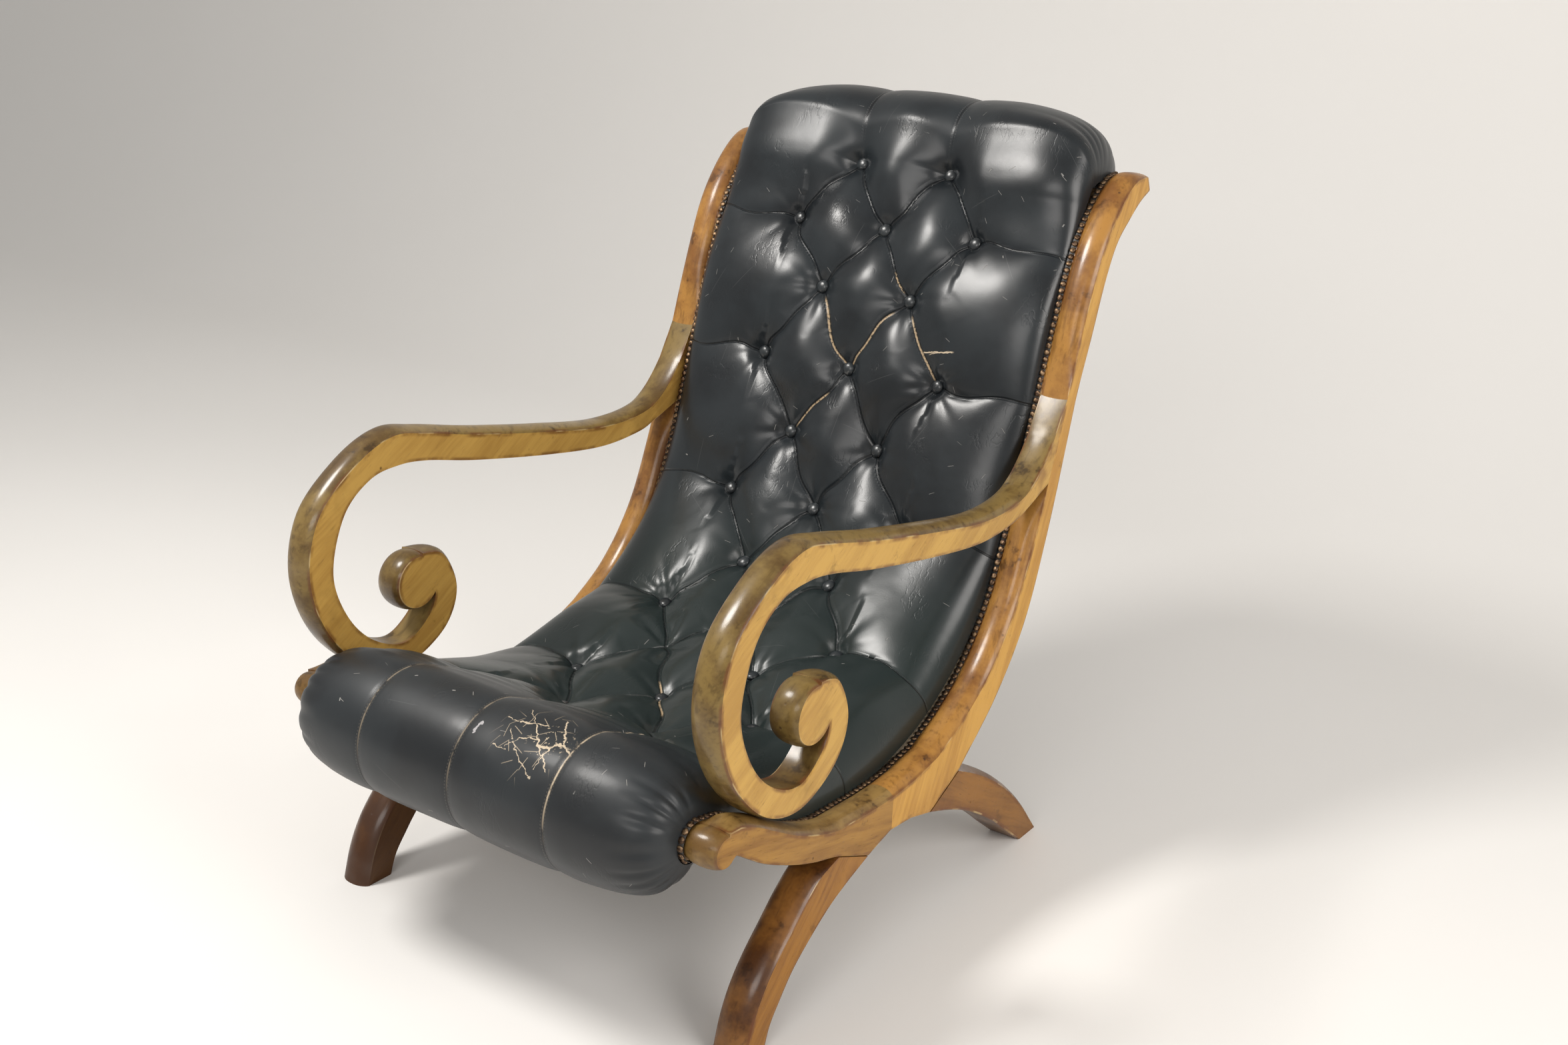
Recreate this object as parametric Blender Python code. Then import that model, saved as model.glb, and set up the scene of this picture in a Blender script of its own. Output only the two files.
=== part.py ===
"""Buttoned leather library chair: two scroll-armed side frames with a tufted seat and back between them."""

import math

import bmesh
import bpy
from mathutils import Matrix, Vector
from mathutils.bvhtree import BVHTree

for old_object in list(bpy.data.objects):
    bpy.data.objects.remove(old_object, do_unlink=True)

# Overall sizes, in metres. Side-plane points are (y, z): y runs to the back, z runs up.
OVERALL_WIDTH = 0.660
FRAME_THICKNESS = 0.046
ARM_THICKNESS = 0.039
FRAME_ROUNDING = 0.009
ARM_ROUNDING = 0.008
EDGE_CHAMFER = 0.003
SEAT_GAP = 0.0003

# The leather's edge and its nails lie in a rebate along the inner front corner of the frame.
REBATE_WIDTH = 0.0065
NAIL_STRIP_RADIUS = 0.0026

# Cross rails between the side frames, and the radius each roll is stuffed around.
TOP_RAIL_CENTRE = (0.671, 0.876)
TOP_RAIL_SIZE = (0.030, 0.026)
TOP_RAIL_TILT = math.radians(48)
FRONT_RAIL_CENTRE = (-0.190, 0.289)
FRONT_RAIL_RADIUS = 0.020
CENTRE_RAIL_CENTRE = (0.292, 0.210)
CENTRE_RAIL_SIZE = (0.040, 0.034)

# Rolls of the upholstery.
TOP_ROLL_CENTRE = (0.712, 0.914)
TOP_ROLL_RADIUS = 0.080
FRONT_ROLL_RADIUS = 0.085
ROLL_CORE_GAP = 0.0009

# Tufting: buttons stand in rows of three and two, a row apart along the seat and back.
BUTTON_SPACING = 0.1445
BUTTON_RADIUS = 0.0095
BUTTON_HEIGHT = 0.006
PLEAT_DEPTH = 0.012
BUTTON_SINK = 0.011
BUTTON_SINK_WIDTH = 0.018
SEAM_DEPTH = 0.006
SIDE_SQUARENESS = 9
LEATHER_EDGE_HEIGHT = 0.007
COVER_DEPTH = 0.028
STUFFING_EDGE_HEIGHT = 0.004
COVER_GAP = 0.0015
LEAST_COVER = 0.003

# Cloth layers and straps.
HESSIAN_THICKNESS = 0.0015
WEBBING_THICKNESS = 0.0025
WEBBING_WIDTH = 0.044
WEBBING_ROWS = 10
BACK_PANEL_THICKNESS = 0.002
BOTTOM_CLOTH_THICKNESS = 0.0012

# The scroll at each end of the frame's curves.
RAIL_KNOB_CENTRE = (-0.190, 0.292)
RAIL_KNOB_RADIUS = 0.022
ARM_EYE_CENTRE = (-0.030, 0.393)
ARM_EYE_RADIUS = 0.039
KNOB_NAILS_FROM = 74
KNOB_NAILS_TO = 242

FRAME_INNER = OVERALL_WIDTH / 2 - FRAME_THICKNESS
ARM_INNER = OVERALL_WIDTH / 2 - ARM_THICKNESS
FRAME_OUTER = OVERALL_WIDTH / 2
BODY_HALF = FRAME_INNER - SEAT_GAP

# Joints that two members share: arm on stile, leg under rail, leg behind stile, stile to rail.
ARM_JOINT_TOP = (0.535, 0.640)
ARM_JOINT_LOW = (0.500, 0.530)
FRONT_LEG_JOINT = ((0.032, 0.187), (0.100, 0.158))
REAR_LEG_JOINT = ((0.314, 0.187), (0.245, 0.155))
SCARF_JOINT = ((0.150, 0.217), (0.150, 0.171))

# Each member is a row of stations: its front or top edge, its back or lower edge, its rounding.
# A station's last value is how many steps lead on to the next one, and 1 is a straight joint face.
STILE = (
    ((0.722, 0.910), (0.732, 0.890), 0.6, 1),
    ((0.692, 0.908), (0.706, 0.878), 1.0, 2),
    ((0.663, 0.893), (0.678, 0.858), 1.0, 2),
    ((0.627, 0.857), (0.645, 0.829), 1.0, 2),
    ((0.595, 0.807), (0.620, 0.783), 1.0, 2),
    ((0.563, 0.724), (0.594, 0.713), 1.0, 2),
    (ARM_JOINT_TOP, (0.563, 0.632), 0.07, 1),
    (ARM_JOINT_LOW, (0.533, 0.522), 0.07, 2),
    ((0.478, 0.466), (0.510, 0.448), 1.0, 2),
    ((0.445, 0.390), (0.480, 0.368), 1.0, 2),
    ((0.410, 0.337), (0.447, 0.312), 1.0, 2),
    ((0.372, 0.297), (0.401, 0.258), 1.0, 2),
    ((0.338, 0.272), (0.358, 0.221), 1.0, 1),
    ((0.308, 0.254), REAR_LEG_JOINT[0], 1.0, 1),
    ((0.255, 0.230), REAR_LEG_JOINT[1], 1.0, 1),
    ((0.200, 0.220), (0.198, 0.167), 1.0, 1),
    (SCARF_JOINT[0], SCARF_JOINT[1], 1.0, 1),
)
SEAT_RAIL = (
    (SCARF_JOINT[0], SCARF_JOINT[1], 1.0, 1),
    ((0.115, 0.218), FRONT_LEG_JOINT[1], 1.0, 1),
    ((0.035, 0.223), FRONT_LEG_JOINT[0], 1.0, 2),
    ((-0.012, 0.236), (-0.018, 0.202), 1.0, 2),
    ((-0.055, 0.254), (-0.063, 0.219), 1.0, 2),
    ((-0.100, 0.279), (-0.115, 0.244), 1.0, 2),
    ((-0.133, 0.298), (-0.148, 0.265), 1.0, 2),
    ((-0.165, 0.311), (-0.172, 0.280), 0.9, 1),
    ((-0.185, 0.3125), (-0.184, 0.2735), 0.2, 1),
)
FRONT_LEG = (
    (FRONT_LEG_JOINT[0], FRONT_LEG_JOINT[1], 0.05, 1),
    ((-0.001, 0.178), (0.062, 0.145), 0.9, 2),
    ((-0.030, 0.158), (0.020, 0.127), 1.0, 2),
    ((-0.061, 0.130), (-0.019, 0.103), 1.0, 2),
    ((-0.092, 0.101), (-0.052, 0.078), 1.0, 2),
    ((-0.115, 0.073), (-0.077, 0.050), 1.0, 2),
    ((-0.132, 0.040), (-0.095, 0.026), 1.0, 2),
    ((-0.144, 0.000), (-0.105, 0.000), 1.0, 1),
)
REAR_LEG = (
    (REAR_LEG_JOINT[0], REAR_LEG_JOINT[1], 0.05, 1),
    ((0.345, 0.172), (0.283, 0.142), 0.9, 2),
    ((0.385, 0.150), (0.333, 0.121), 1.0, 2),
    ((0.430, 0.121), (0.380, 0.095), 1.0, 2),
    ((0.472, 0.088), (0.424, 0.066), 1.0, 2),
    ((0.512, 0.050), (0.466, 0.033), 1.0, 2),
    ((0.556, 0.000), (0.509, 0.000), 1.0, 1),
)
SCROLL_ARM = (
    (ARM_JOINT_TOP, ARM_JOINT_LOW, 0.05, 1),
    ((0.506, 0.590), (0.481, 0.523), 0.9, 2),
    ((0.463, 0.545), (0.448, 0.511), 1.0, 2),
    ((0.415, 0.526), (0.410, 0.500), 1.0, 2),
    ((0.330, 0.524), (0.327, 0.496), 1.0, 2),
    ((0.215, 0.542), (0.212, 0.510), 1.0, 2),
    ((0.080, 0.568), (0.076, 0.534), 1.0, 2),
    ((-0.010, 0.589), (-0.008, 0.553), 1.0, 2),
    ((-0.067, 0.597), (-0.058, 0.558), 1.0, 2),
    ((-0.128, 0.573), (-0.106, 0.550), 1.0, 2),
    ((-0.188, 0.521), (-0.149, 0.514), 1.0, 2),
    ((-0.206, 0.446), (-0.170, 0.444), 1.0, 2),
    ((-0.181, 0.368), (-0.150, 0.382), 0.8, 2),
    ((-0.122, 0.306), (-0.110, 0.338), 0.37, 2),
    ((-0.054, 0.287), (-0.058, 0.318), 0.4, 2),
    ((0.012, 0.316), (-0.017, 0.340), 1.0, 2),
    ((0.036, 0.366), (-0.002, 0.370), 1.0, 2),
    ((0.014, 0.419), (-0.018, 0.400), 0.8, 2),
    ((-0.022, 0.4305), (-0.030, 0.404), 0.2, 1),
)

# The leather's crest and the platform under it, one pair for each button row and the valley.
BUTTON_ROWS = (
    (1, (0.626, 0.899), (0.651, 0.886)),
    (2, (0.573, 0.822), (0.607, 0.806)),
    (3, (0.529, 0.735), (0.566, 0.721)),
    (4, (0.493, 0.633), (0.537, 0.620)),
    (5, (0.463, 0.538), (0.512, 0.515)),
    (6, (0.424, 0.453), (0.470, 0.420)),
    (7, (0.366, 0.381), (0.405, 0.328)),
    (8, (0.289, 0.331), (0.310, 0.256)),
    (9, (0.206, 0.313), (0.208, 0.220)),
    (10, (0.110, 0.296), (0.110, 0.210)),
    (11, (0.012, 0.302), (-0.008, 0.222)),
    (12, (-0.083, 0.338), (-0.078, 0.256)),
)
FIRST_BUTTON_ROW = 1
LAST_BUTTON_ROW = 11
TOP_ROLL_ROWS = 3.0
FRONT_ROLL_ROWS = 4.25
GRID_STEPS_PER_ROW = 4
LOST_BUTTONS = ((9, -0.5),)

# Lines of the thin pieces behind and below.
BACK_PANEL_LINE = (
    (0.684, 0.851),
    (0.637, 0.825),
    (0.584, 0.713),
    (0.553, 0.632),
    (0.523, 0.522),
    (0.500, 0.448),
    (0.470, 0.370),
    (0.436, 0.317),
    (0.388, 0.265),
    (0.350, 0.233),
    (0.3128, 0.212),
)
BOTTOM_CLOTH_LINE = (
    (0.2715, 0.197),
    (0.200, 0.186),
    (0.110, 0.184),
    (0.035, 0.198),
    (-0.015, 0.212),
    (-0.060, 0.230),
    (-0.115, 0.256),
    (-0.148, 0.270),
    (-0.168, 0.2745),
)

part_collection = bpy.data.collections.new("club_chair")
bpy.context.scene.collection.children.link(part_collection)
chair_root = bpy.data.objects.new("chair_root", None)
part_collection.objects.link(chair_root)


def material(name, colour, roughness, metallic=0.0):
    """Principled material with the piece's own colour."""
    made = bpy.data.materials.new(name)
    made.use_nodes = True
    shader = made.node_tree.nodes["Principled BSDF"]
    shader.inputs["Base Color"].default_value = (*colour, 1.0)
    shader.inputs["Roughness"].default_value = roughness
    shader.inputs["Metallic"].default_value = metallic
    return made


oak = material("worn_oak", (0.36, 0.19, 0.05), 0.35)
leather = material("dark_leather", (0.012, 0.018, 0.020), 0.30)
button_leather = material("button_leather", (0.015, 0.020, 0.022), 0.35)
horsehair = material("horsehair", (0.10, 0.06, 0.03), 0.95)
hessian_cloth = material("hessian", (0.30, 0.21, 0.11), 0.95)
jute_web = material("jute_web", (0.35, 0.25, 0.13), 0.90)
black_cloth = material("black_cloth", (0.015, 0.015, 0.016), 0.90)
old_brass = material("old_brass", (0.42, 0.28, 0.11), 0.35, 1.0)


def finish(mesh, name, look):
    """Shade a mesh and place it in the chair under the root empty."""
    made = bpy.data.objects.new(name, mesh)
    mesh.materials.clear()
    mesh.materials.append(look)
    mesh.shade_smooth()
    mesh.set_sharp_from_angle(angle=math.radians(38))
    part_collection.objects.link(made)
    made.parent = chair_root
    return made


def curve_value(before, start, end, after, t):
    """Catmull-Rom value between start and end."""
    linear = (end - before) * t
    square = (2 * before - 5 * start + 4 * end - after) * t**2
    cube = (3 * start - before - 3 * end + after) * t**3
    return start + 0.5 * (linear + square + cube)


def spline(rows, steps):
    """Smooth rows of numbers through their key rows, with the given steps after each."""
    made = []
    for index in range(len(rows) - 1):
        quad = [rows[max(index - 1, 0)], rows[index], rows[index + 1], rows[min(index + 2, len(rows) - 1)]]
        for step in range(steps[index]):
            t = step / steps[index]
            made.append([curve_value(*values, t) for values in zip(*quad)])
    made.append(list(rows[-1]))
    return made


def stations(table):
    """Edge pairs along a member, as (front, back, rounding share)."""
    rows = [(*front, *back, rounding) for front, back, rounding, _ in table]
    made = spline(rows, [row[3] for row in table])
    return [(Vector(row[0:2]), Vector(row[2:4]), max(row[4], 0.05)) for row in made]


def loft(name, rings, look):
    """Closed body through matching rings of points, with both ends capped."""
    mesh = bpy.data.meshes.new(name)
    bm = bmesh.new()
    loops = [[bm.verts.new(point) for point in ring] for ring in rings]
    for near, far in zip(loops, loops[1:]):
        for index in range(len(near)):
            other = (index + 1) % len(near)
            bm.faces.new((near[index], near[other], far[other], far[index]))
    bm.faces.new(list(reversed(loops[0])))
    bm.faces.new(loops[-1])
    bmesh.ops.recalc_face_normals(bm, faces=bm.faces)
    bm.to_mesh(mesh)
    bm.free()
    return finish(mesh, name, look)


def member_ring(front, back, rounding, side, inner, rebate):
    """Section of a frame member: flat sides, a rounded front and a chamfered outer back edge."""
    outer = FRAME_OUTER
    across = (front - back).normalized()
    width = outer - inner - rebate
    section = [
        (inner, back),
        (outer - EDGE_CHAMFER, back),
        (outer, back + across * EDGE_CHAMFER),
        (outer, front),
        (outer - 0.12 * width, front + across * rounding * 0.62),
        (outer - 0.34 * width, front + across * rounding),
        (outer - 0.66 * width, front + across * rounding),
        (outer - 0.88 * width, front + across * rounding * 0.62),
    ]
    if rebate > 0:
        section.append((inner + rebate, front + across * rounding * 0.40))
        section.append((inner + rebate, front))
    section.append((inner, front))
    return [Vector((side * x, point.x, point.y)) for x, point in section]


def frame_member(name, table, side, inner, depth, rebate, start_gap=0.0, end_gap=0.0):
    """Member of a side frame, drawn back from its neighbours at either end by the seat gap."""
    row = stations(table)
    if start_gap:
        row[0] = shifted_station(row[0], row[1], start_gap)
    if end_gap:
        row[-1] = shifted_station(row[-1], row[-2], end_gap)
    rings = [member_ring(front, back, depth * share, side, inner, rebate) for front, back, share in row]
    return loft(name, rings, oak)


def shifted_station(station, beyond, gap):
    """Station moved square to its own line, towards the station beyond it."""
    front, back, share = station
    line = (front - back).normalized()
    square = Vector((-line.y, line.x))
    if square.dot(beyond[0] + beyond[1] - front - back) < 0:
        square = -square
    return (front + square * gap, back + square * gap, share)


def union_disc(member, centre, radius, side, inner):
    """Join a turned disc to a member's scroll end."""
    thickness = FRAME_OUTER - inner
    place = Matrix.Translation((side * (inner + thickness / 2), centre[0], centre[1]))
    turn = Matrix.Rotation(math.radians(90), 4, "Y")
    mesh = bpy.data.meshes.new(member.name + "_disc")
    bm = bmesh.new()
    bmesh.ops.create_cone(
        bm, cap_ends=True, segments=28, radius1=radius, radius2=radius, depth=thickness, matrix=place @ turn
    )
    rims = [edge for edge in bm.edges if abs(edge.verts[0].co.x - edge.verts[1].co.x) < EDGE_CHAMFER]
    bmesh.ops.bevel(bm, geom=rims, offset=EDGE_CHAMFER, segments=1, affect="EDGES")
    bm.to_mesh(mesh)
    bm.free()
    disc = bpy.data.objects.new(member.name + "_disc", mesh)
    cutter_collection.objects.link(disc)
    disc.hide_render = True
    disc.display_type = "WIRE"
    disc.parent = chair_root
    join = member.modifiers.new("scroll_eye", "BOOLEAN")
    join.operation = "UNION"
    join.object = disc


cutter_collection = bpy.data.collections.new("cutters")
bpy.context.scene.collection.children.link(cutter_collection)

# Side frames: each is a back stile, a seat rail, two legs and a scroll arm.
for side_name, side in (("left", -1), ("right", 1)):
    frame_member(
        side_name + "_back_stile", STILE, side, FRAME_INNER, FRAME_ROUNDING, REBATE_WIDTH, end_gap=SEAT_GAP
    )
    rail = frame_member(side_name + "_seat_rail", SEAT_RAIL, side, FRAME_INNER, FRAME_ROUNDING, REBATE_WIDTH)
    union_disc(rail, RAIL_KNOB_CENTRE, RAIL_KNOB_RADIUS, side, FRAME_INNER)
    frame_member(side_name + "_front_leg", FRONT_LEG, side, FRAME_INNER, FRAME_ROUNDING, 0, start_gap=SEAT_GAP)
    frame_member(side_name + "_rear_leg", REAR_LEG, side, FRAME_INNER, FRAME_ROUNDING, 0, start_gap=SEAT_GAP)
    arm_gap = SEAT_GAP + 0.07 * FRAME_ROUNDING
    arm = frame_member(side_name + "_scroll_arm", SCROLL_ARM, side, ARM_INNER, ARM_ROUNDING, 0, start_gap=arm_gap)
    union_disc(arm, ARM_EYE_CENTRE, ARM_EYE_RADIUS, side, ARM_INNER)


def cross_bar(name, centre, size, tilt, look):
    """Square rail from one side frame to the other."""
    mesh = bpy.data.meshes.new(name)
    bm = bmesh.new()
    shape = Matrix.Diagonal((2 * BODY_HALF, size[0], size[1], 1.0))
    bmesh.ops.create_cube(bm, size=1.0, matrix=shape)
    bmesh.ops.bevel(bm, geom=bm.edges[:], offset=EDGE_CHAMFER / 2, segments=1, affect="EDGES")
    bm.to_mesh(mesh)
    bm.free()
    made = finish(mesh, name, look)
    made.location = (0, centre[0], centre[1])
    made.rotation_euler = (tilt, 0, 0)
    return made


cross_bar("top_rail", TOP_RAIL_CENTRE, TOP_RAIL_SIZE, TOP_RAIL_TILT, oak)
cross_bar("centre_rail", CENTRE_RAIL_CENTRE, CENTRE_RAIL_SIZE, 0, oak)

# Front rail: a round bar that the front roll is stuffed around.
front_rail_mesh = bpy.data.meshes.new("front_rail")
front_rail_bm = bmesh.new()
bmesh.ops.create_cone(
    front_rail_bm,
    cap_ends=True,
    segments=20,
    radius1=FRONT_RAIL_RADIUS,
    radius2=FRONT_RAIL_RADIUS,
    depth=2 * BODY_HALF,
    matrix=Matrix.Rotation(math.radians(90), 4, "Y"),
)
front_rail_bm.to_mesh(front_rail_mesh)
front_rail_bm.free()
front_rail = finish(front_rail_mesh, "front_rail", oak)
front_rail.location = (0, FRONT_RAIL_CENTRE[0], FRONT_RAIL_CENTRE[1])


def polar(centre, radius, angle):
    """Side-plane point on a circle, angle in degrees from the back, over the top."""
    turn = math.radians(angle)
    return (centre[0] + radius * math.cos(turn), centre[1] + radius * math.sin(turn))


def roll_taper(progress, start, full, end):
    """Radius that stays full round a roll and narrows to its tucked end."""
    if progress <= start:
        return full
    share = (progress - start) / (1 - start)
    return full + (end - full) * share * share * (3 - 2 * share)


def upholstery_line():
    """Rows of (row number, crest point, platform point) from the top roll's tuck to the front roll's."""
    core_top = math.hypot(*TOP_RAIL_SIZE) / 2 + ROLL_CORE_GAP
    core_front = FRONT_RAIL_RADIUS + ROLL_CORE_GAP
    rows = []
    count = int(TOP_ROLL_ROWS * GRID_STEPS_PER_ROW)
    for step in range(count, 0, -1):
        progress = step / count
        radius = roll_taper(progress, 0.72, TOP_ROLL_RADIUS, 0.034)
        centre_share = roll_taper(progress, 0.72, 1.0, 0.15)
        centre = [a + (b - a) * centre_share for a, b in zip(TOP_RAIL_CENTRE, TOP_ROLL_CENTRE)]
        crest = polar(centre, radius, 172 - 232 * progress)
        platform = polar(TOP_RAIL_CENTRE, core_top, 155 - 205 * progress)
        rows.append((FIRST_BUTTON_ROW - step / GRID_STEPS_PER_ROW, *crest, *platform))
    keys = [(number, *crest, *platform) for number, crest, platform in BUTTON_ROWS]
    first_front = polar(FRONT_RAIL_CENTRE, FRONT_ROLL_RADIUS, 75)
    keys.append((BUTTON_ROWS[-1][0] + 1, *first_front, *polar(FRONT_RAIL_CENTRE, core_front, 75)))
    rows += spline([rows[-1]] + keys, [1] + [GRID_STEPS_PER_ROW] * (len(keys) - 1))[1:]
    count = int((FRONT_ROLL_ROWS - 1) * GRID_STEPS_PER_ROW)
    for step in range(1, count + 1):
        progress = step / count
        angle = 75 + 235 * progress
        radius = roll_taper(progress, 0.66, FRONT_ROLL_RADIUS, core_front + 0.009)
        crest = polar(FRONT_RAIL_CENTRE, radius, angle)
        platform = polar(FRONT_RAIL_CENTRE, core_front, angle)
        rows.append((keys[-1][0] + step / GRID_STEPS_PER_ROW, *crest, *platform))
    return rows


def side_share(x):
    """How much of the full height the leather has at x: whole, then rounding down at each side."""
    return math.sqrt(max(1 - abs(x / BODY_HALF) ** SIDE_SQUARENESS, 0))


def tuft_depth(x, row):
    """How far the pleats, seams and buttons draw the leather down at x on a button row number."""
    u = x / BUTTON_SPACING
    inside = abs(u) <= 1
    if row < FIRST_BUTTON_ROW:
        fade = 1 / (1 + 2.5 * (FIRST_BUTTON_ROW - row))
        valley = 1 - abs(math.cos(math.pi * u)) ** 1.2 if inside else 0
        depth = (SEAM_DEPTH + (PLEAT_DEPTH - SEAM_DEPTH) * fade) * valley
    elif row > LAST_BUTTON_ROW + 1:
        fade = 1 / (1 + 2.5 * (row - LAST_BUTTON_ROW - 1))
        valley = 1 - abs(math.sin(math.pi * u)) ** 0.6 if abs(u) < 1.4 else 0
        depth = (SEAM_DEPTH + (PLEAT_DEPTH - SEAM_DEPTH) * fade) * valley
    else:
        cross = abs(math.sin(math.pi * (u + row / 2)) * math.sin(math.pi * (u - row / 2)))
        valley = 1 - cross**0.6 if inside else 1 - abs(math.sin(math.pi * row / 2)) ** 1.2
        depth = PLEAT_DEPTH * valley
    sink = 0
    for number in range(FIRST_BUTTON_ROW, LAST_BUTTON_ROW + 2):
        for place in button_places(number):
            away = (u - place) ** 2 * BUTTON_SPACING**2 + (row - number) ** 2 * 0.0097
            sink += BUTTON_SINK * math.exp(-away / BUTTON_SINK_WIDTH**2)
    return depth + sink


def button_places(number):
    """Places of a row's buttons across the chair, in button spacings from the middle."""
    return (-1, 0, 1) if number % 2 == 0 else (-0.5, 0.5)


line_rows = upholstery_line()
quarter = BUTTON_SPACING / 4
half_columns = [quarter * index for index in range(1, 7)] + [BODY_HALF - 0.034, BODY_HALF - 0.012, BODY_HALF]
columns = [-x for x in reversed(half_columns)] + [0.0] + half_columns


def leather_height(row, x):
    """Height of the leather's face over the platform."""
    crest = Vector(row[1:3])
    platform = Vector(row[3:5])
    share = side_share(x)
    full = LEATHER_EDGE_HEIGHT + max((crest - platform).length - LEATHER_EDGE_HEIGHT, 0) * share
    return full - tuft_depth(x, row[0]) * share


def stuffing_height(row, x):
    """Height of the stuffing under the leather's quilted layer."""
    crest = Vector(row[1:3])
    platform = Vector(row[3:5])
    share = side_share(x)
    full = LEATHER_EDGE_HEIGHT + max((crest - platform).length - LEATHER_EDGE_HEIGHT, 0) * share
    return max(full - COVER_DEPTH, STUFFING_EDGE_HEIGHT)


def point_over(row, x, height):
    """Point at a height over the platform, along the line to the crest."""
    crest = Vector(row[1:3])
    platform = Vector(row[3:5])
    point = platform + (crest - platform).normalized() * height
    return Vector((x, point.x, point.y))


def slab(name, upper, lower, look):
    """Closed body between two grids of points: a grid primitive, extruded and then shaped."""
    row_count = len(upper)
    column_count = len(upper[0])
    mesh = bpy.data.meshes.new(name)
    bm = bmesh.new()
    bmesh.ops.create_grid(bm, x_segments=column_count - 1, y_segments=row_count - 1, size=1.0)
    bm.verts.ensure_lookup_table()
    base = sorted(bm.verts, key=lambda vert: (round(vert.co.y, 4), round(vert.co.x, 4)))
    low_points = [point for row in lower for point in row]
    high_points = [point for row in upper for point in row]
    extruded = bmesh.ops.extrude_face_region(bm, geom=bm.faces[:], use_keep_orig=True)
    raised = [item for item in extruded["geom"] if isinstance(item, bmesh.types.BMVert)]
    raised.sort(key=lambda vert: (round(vert.co.y, 4), round(vert.co.x, 4)))
    for vert, point in zip(base, low_points):
        vert.co = point
    for vert, point in zip(raised, high_points):
        vert.co = point
    bmesh.ops.recalc_face_normals(bm, faces=bm.faces)
    if bm.calc_volume(signed=True) < 0:
        bmesh.ops.reverse_faces(bm, faces=bm.faces)
    bmesh.ops.triangulate(bm, faces=bm.faces)
    bm.to_mesh(mesh)
    bm.free()
    return finish(mesh, name, look)


# Stuffing: the hair pad and both rolls, in a coarser grid than the leather over it.
coarse_rows = []
for r, row in enumerate(line_rows):
    on_roll = row[0] < FIRST_BUTTON_ROW or row[0] > LAST_BUTTON_ROW + 1
    if on_roll or (row[0] * 2) % 1 == 0:
        coarse_rows.append(r)
coarse_columns = [0, 1, 2, 5, 9, 13, 16, 17, 18]
stuffing_top = [
    [point_over(line_rows[r], columns[c], stuffing_height(line_rows[r], columns[c])) for c in coarse_columns]
    for r in coarse_rows
]
stuffing_base = [[point_over(line_rows[r], columns[c], 0) for c in coarse_columns] for r in coarse_rows]
slab("stuffing", stuffing_top, stuffing_base, horsehair)


def between(values, keys, index):
    """Index pair and share of a fine index on the coarse keys."""
    upper = next(place for place, key in enumerate(keys) if key >= index)
    lower = max(upper - 1, 0)
    if keys[upper] == index:
        return upper, upper, 0.0
    share = (values[index] - values[keys[lower]]) / (values[keys[upper]] - values[keys[lower]])
    return lower, upper, share


def stuffing_point(r, c):
    """Point of the coarse stuffing's face at a fine grid place."""
    row_numbers = [row[0] for row in line_rows]
    r0, r1, rs = between(row_numbers, coarse_rows, r)
    c0, c1, cs = between(columns, coarse_columns, c)
    near = stuffing_top[r0][c0].lerp(stuffing_top[r0][c1], cs)
    far = stuffing_top[r1][c0].lerp(stuffing_top[r1][c1], cs)
    return near.lerp(far, rs)


# Leather cover: quilted over the stuffing, tufted, seamed and rounded down to the nails.
cover_top = []
cover_base = []
for r, row in enumerate(line_rows):
    lift = (Vector(row[1:3]) - Vector(row[3:5])).normalized()
    lift = Vector((0, lift.x, lift.y))
    low_row = [stuffing_point(r, c) + lift * COVER_GAP for c in range(len(columns))]
    heights = [(low - point_over(row, low.x, 0)).dot(lift) for low in low_row]
    cover_base.append(low_row)
    cover_top.append(
        [point_over(row, x, max(leather_height(row, x), low + LEAST_COVER)) for x, low in zip(columns, heights)]
    )
cover = slab("leather_cover", cover_top, cover_base, leather)
cover_faces = [face.vertices for face in cover.data.polygons]
cover_surface = BVHTree.FromPolygons([vert.co for vert in cover.data.vertices], cover_faces)

# Buttons: low domes that rest on the walls of their tufts.
button_mesh = bpy.data.meshes.new("button")
button_bm = bmesh.new()
bmesh.ops.create_uvsphere(button_bm, u_segments=10, v_segments=6, radius=1.0)
bmesh.ops.bisect_plane(
    button_bm,
    geom=button_bm.verts[:] + button_bm.edges[:] + button_bm.faces[:],
    plane_co=(0, 0, 0),
    plane_no=(0, 0, -1),
    clear_outer=True,
)
bmesh.ops.holes_fill(button_bm, edges=[edge for edge in button_bm.edges if edge.is_boundary])
bmesh.ops.scale(button_bm, vec=(BUTTON_RADIUS, BUTTON_RADIUS, BUTTON_HEIGHT), verts=button_bm.verts)
bmesh.ops.recalc_face_normals(button_bm, faces=button_bm.faces)
button_bm.to_mesh(button_mesh)
button_bm.free()
button_mesh.materials.append(button_leather)
button_mesh.shade_smooth()
button_mesh.set_sharp_from_angle(angle=math.radians(50))


def fine_place(number, place):
    """Grid row and column of a button."""
    r = next(index for index, row in enumerate(line_rows) if abs(row[0] - number) < 1e-6)
    c = min(range(len(columns)), key=lambda index: abs(columns[index] - place * BUTTON_SPACING))
    return r, c


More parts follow.
